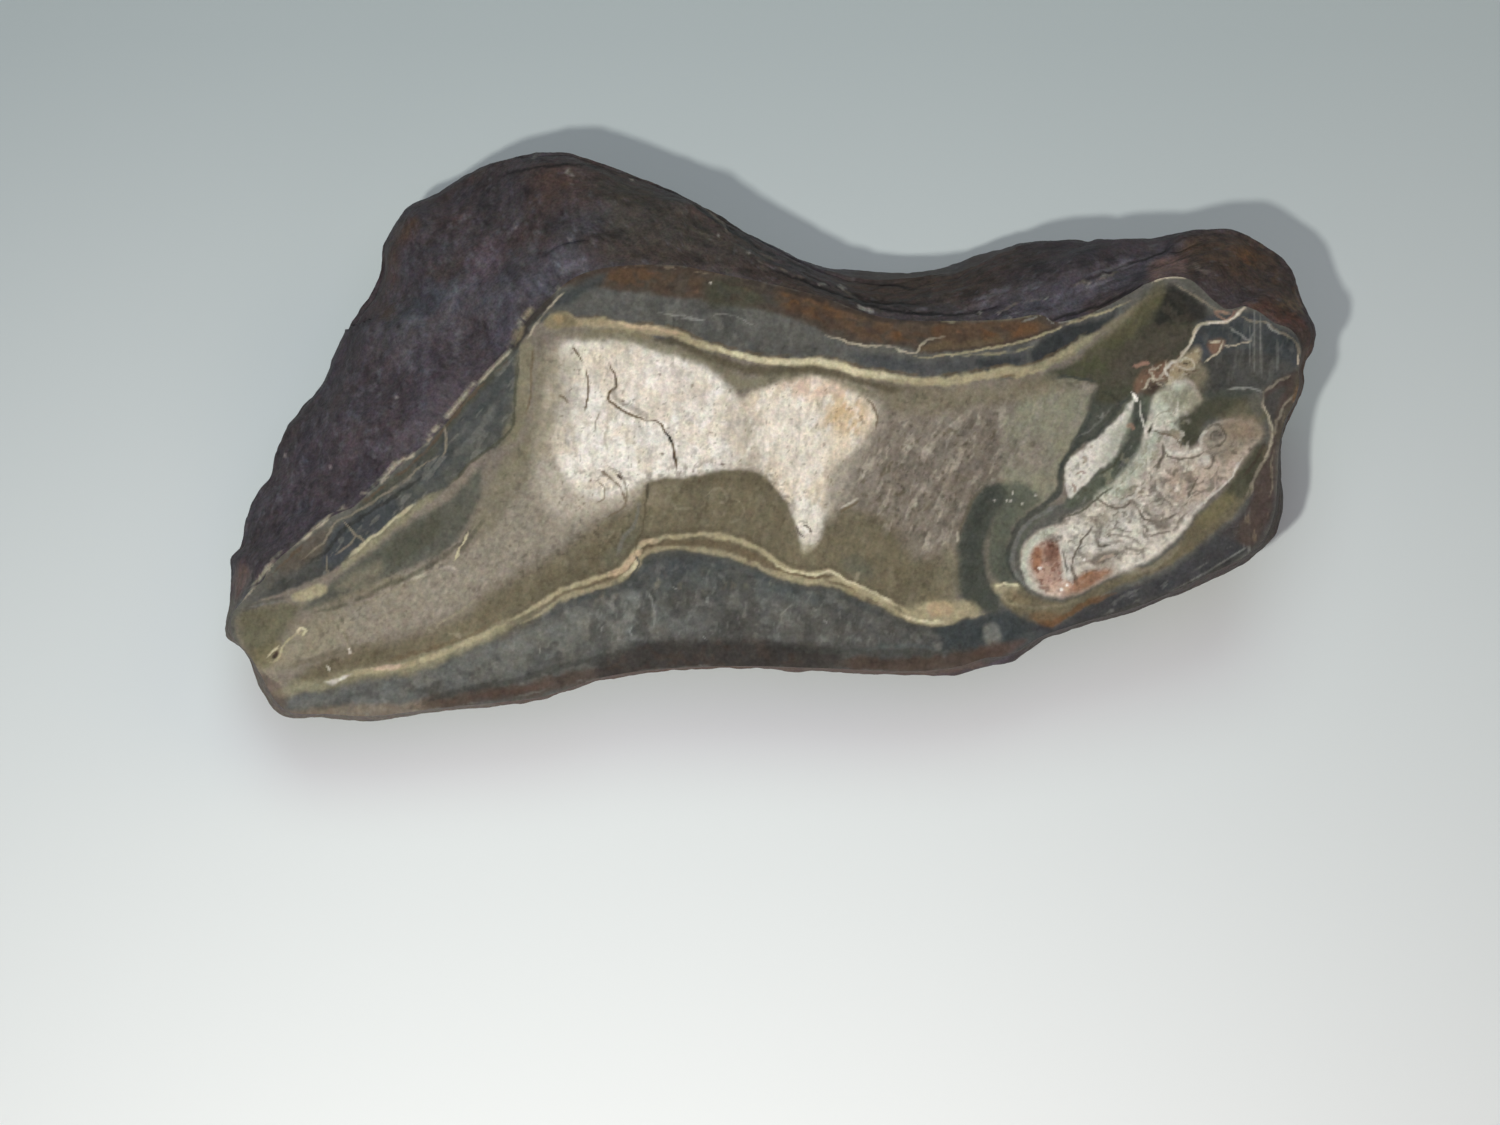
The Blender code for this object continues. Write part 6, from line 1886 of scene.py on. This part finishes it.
def paint_rind(world, levels):
    """Colour and groove height of the rind. What the picture shows stops below the outline."""
    colour = rind_ground(world)
    height = np.zeros(len(world))
    seen = np.flatnonzero(levels < FLANK_RINGS + LAYERS_FADE)
    canvas = Canvas(picture_points(world[seen]), RIND_PALETTE["umber"])
    canvas.colour = colour[seen].copy()
    paint_layers(canvas, RIND_AREAS, RIND_PALETTE)
    share = 1 - smooth_step((levels[seen] - FLANK_RINGS) / LAYERS_FADE)
    colour[seen] += share[:, None] * (canvas.colour - colour[seen])
    colour = add_rind_grain(colour, world)
    canvas.colour = colour[seen].copy()
    paint_layers(canvas, RIND_LINES, RIND_PALETTE)
    paint_layers(canvas, RIM_LINES, PALETTE)
    colour[seen] += share[:, None] * (canvas.colour - colour[seen])
    height[seen] = share * canvas.height
    return colour, height


def paint_piece(piece, colour):
    """Puts the painted colour on the piece's points, where its material reads it."""
    layer = piece.data.attributes.new("paint", "FLOAT_COLOR", "POINT")
    values = np.hstack((colour, np.ones((len(colour), 1))))
    layer.data.foreach_set("color", values.astype(np.float32).ravel())


def triangle_normals(world, triangles):
    """Normals of the points, from the triangles round them."""
    corners = world[triangles]
    cross = np.cross(corners[:, 1] - corners[:, 0], corners[:, 2] - corners[:, 0])
    normals = np.zeros_like(world)
    for corner in range(3):
        np.add.at(normals, triangles[:, corner], cross)
    return normals / np.linalg.norm(normals, axis=1)[:, None]


def make_face(rim_world):
    """The sawn face as pieces of one fine mesh that meet along straight lines."""
    rim = picture_points(rim_world)
    points, triangles = face_mesh(rim)
    canvas = paint_face(points)
    world = place(points, -canvas.height * MILLIMETRE)
    world[:len(rim)] = rim_world
    normals = triangle_normals(world, triangles)
    centres = points[triangles].mean(axis=1)[:, 0]
    pieces = []
    for number, (left, right) in enumerate(zip(FACE_SPLITS[:-1], FACE_SPLITS[1:])):
        chosen = triangles[(centres >= left) & (centres < right)]
        used, renumbered = np.unique(chosen, return_inverse=True)
        piece = make_object(f"cut_face_{number + 1}", world[used], renumbered.reshape(-1, 3).tolist())
        piece.data.normals_split_custom_set_from_vertices(normals[used].tolist())
        paint_piece(piece, canvas.colour[used])
        pieces.append(piece)
    return pieces


def add_node(tree, kind, **settings):
    """A new node of the material with its settings."""
    node = tree.nodes.new(kind)
    for name, value in settings.items():
        setattr(node, name, value)
    return node


def fine_noise(tree, coordinates, settings, output):
    """A noise over the object's own coordinates, from 0 to 1."""
    noise_node = add_node(tree, "ShaderNodeTexNoise")
    for name, number in zip(("Scale", "Detail", "Roughness"), settings):
        noise_node.inputs[name].default_value = number
    tree.links.new(coordinates, noise_node.inputs["Vector"])
    return noise_node.outputs[output]


def mapped(tree, value, low, high, to_low, to_high):
    """A value stretched from one range to another."""
    node = add_node(tree, "ShaderNodeMapRange")
    for name, number in (("From Min", low), ("From Max", high), ("To Min", to_low), ("To Max", to_high)):
        node.inputs[name].default_value = number
    tree.links.new(value, node.inputs["Value"])
    return node.outputs["Result"]


def stone_material(name, roughness, gloss, grain_strength, hue_strength, bump_height):
    """Stone whose colour is painted on its points, with a fine grain, hues and bumps of its own."""
    material = bpy.data.materials.new(name)
    material.use_nodes = True
    tree = material.node_tree
    shader = tree.nodes["Principled BSDF"]
    shader.inputs["Roughness"].default_value = roughness
    shader.inputs["Specular IOR Level"].default_value = gloss
    coordinates = add_node(tree, "ShaderNodeTexCoord").outputs["Object"]
    paint = add_node(tree, "ShaderNodeAttribute", attribute_name="paint")
    low, high = NOISE_RANGE
    speckle = fine_noise(tree, coordinates, GRAIN_NOISE, "Fac")
    brightness = mapped(tree, speckle, low, high, 1 - grain_strength, 1 + grain_strength)
    slope = 2 * hue_strength / (high - low)
    tint = add_node(tree, "ShaderNodeVectorMath", operation="MULTIPLY_ADD")
    tint.inputs[1].default_value = (slope,) * 3
    tint.inputs[2].default_value = (1 - hue_strength - slope * low,) * 3
    tree.links.new(fine_noise(tree, coordinates, HUE_NOISE, "Color"), tint.inputs[0])
    tinted = add_node(tree, "ShaderNodeVectorMath", operation="MULTIPLY")
    tree.links.new(paint.outputs["Color"], tinted.inputs[0])
    tree.links.new(tint.outputs["Vector"], tinted.inputs[1])
    scaled = add_node(tree, "ShaderNodeVectorMath", operation="SCALE")
    tree.links.new(tinted.outputs["Vector"], scaled.inputs[0])
    tree.links.new(brightness, scaled.inputs["Scale"])
    tree.links.new(scaled.outputs["Vector"], shader.inputs["Base Color"])
    bump = add_node(tree, "ShaderNodeBump")
    bump.inputs["Distance"].default_value = bump_height
    bump.inputs["Strength"].default_value = BUMP_STRENGTH
    tree.links.new(fine_noise(tree, coordinates, BUMP_NOISE, "Fac"), bump.inputs["Height"])
    tree.links.new(bump.outputs["Normal"], shader.inputs["Normal"])
    return material


def sheet_material():
    """Matt white paper with painted light and shade: lighter in front, darker and bluer towards the back.
    """
    material = bpy.data.materials.new("pale_sheet")
    material.use_nodes = True
    tree = material.node_tree
    shader = tree.nodes["Principled BSDF"]
    shader.inputs["Roughness"].default_value = FLOOR_ROUGHNESS
    coordinates = add_node(tree, "ShaderNodeTexCoord").outputs["Object"]
    parts = add_node(tree, "ShaderNodeSeparateXYZ")
    tree.links.new(coordinates, parts.inputs["Vector"])
    # Painted shade: the ramp darkens and cools the sheet towards the back, standing in for the light
    # falling off
    share = mapped(tree, parts.outputs["Y"], FLOOR_FRONT_Y, FLOOR_BACK_Y, 0.0, 1.0)
    ramp = add_node(tree, "ShaderNodeValToRGB")
    ramp.color_ramp.elements[0].color = (*FLOOR_FRONT_LIT, 1.0)
    ramp.color_ramp.elements[1].color = (*FLOOR_BACK_SHADED, 1.0)
    tree.links.new(share, ramp.inputs["Fac"])
    tree.links.new(ramp.outputs["Color"], shader.inputs["Base Color"])
    return material


def make_floor():
    """A wide pale sheet under the stone."""
    half = FLOOR_SIZE / 2
    corners = ((-half, -half, 0.0), (half, -half, 0.0), (half, half, 0.0), (-half, half, 0.0))
    floor = make_object("floor", np.array(corners), [(0, 1, 2, 3)])
    floor.data.materials.append(sheet_material())


def add_light(name, position, aim, size, power, colour):
    """A round area light at a place, turned to a point."""
    light = bpy.data.lights.new(name, "AREA")
    light.shape = "DISK"
    light.size = size
    light.energy = power
    light.color = colour
    lamp = bpy.data.objects.new(name, light)
    lamp.location = position
    direction = Vector(aim) - Vector(position)
    lamp.rotation_euler = direction.to_track_quat("-Z", "Y").to_euler()
    bpy.context.scene.collection.objects.link(lamp)


def add_lights():
    """Soft studio light, and an even pale surround."""
    for light in LIGHTS:
        add_light(*light)
    world = bpy.data.worlds.new("surround")
    world.use_nodes = True
    background = world.node_tree.nodes["Background"]
    background.inputs["Color"].default_value = (*SURROUND_COLOUR, 1.0)
    background.inputs["Strength"].default_value = SURROUND_STRENGTH
    bpy.context.scene.world = world


def add_camera():
    """The photograph's view: square to the cut face."""
    camera = bpy.data.cameras.new("camera")
    camera.lens = CAMERA_LENS
    camera.sensor_width = CAMERA_SENSOR
    camera.clip_start = CAMERA_NEAR
    eye = bpy.data.objects.new("camera", camera)
    axes = Matrix((FACE_RIGHT, FACE_UP, FACE_NORMAL)).transposed().to_4x4()
    axes.translation = Vector(CUT_FACE_MIDDLE + EYE_DISTANCE * FACE_NORMAL)
    eye.matrix_world = axes
    bpy.context.scene.collection.objects.link(eye)
    bpy.context.scene.camera = eye


def main():
    """Builds and dresses the pieces, and sets the sheet, the light and the view."""
    bpy.context.scene.view_settings.view_transform = "Standard"
    rind, world = make_rind()
    cut_pieces = make_face(world[:FINE_STATIONS])
    rind.data.materials.append(stone_material("weathered_rind", **RIND_STONE))
    cut_stone = stone_material("sawn_stone", **CUT_STONE)
    for piece in cut_pieces:
        piece.data.materials.append(cut_stone)
    for piece in [rind] + cut_pieces:
        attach(piece, "root")
        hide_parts("stone")
    make_floor()
    add_lights()
    add_camera()


main()
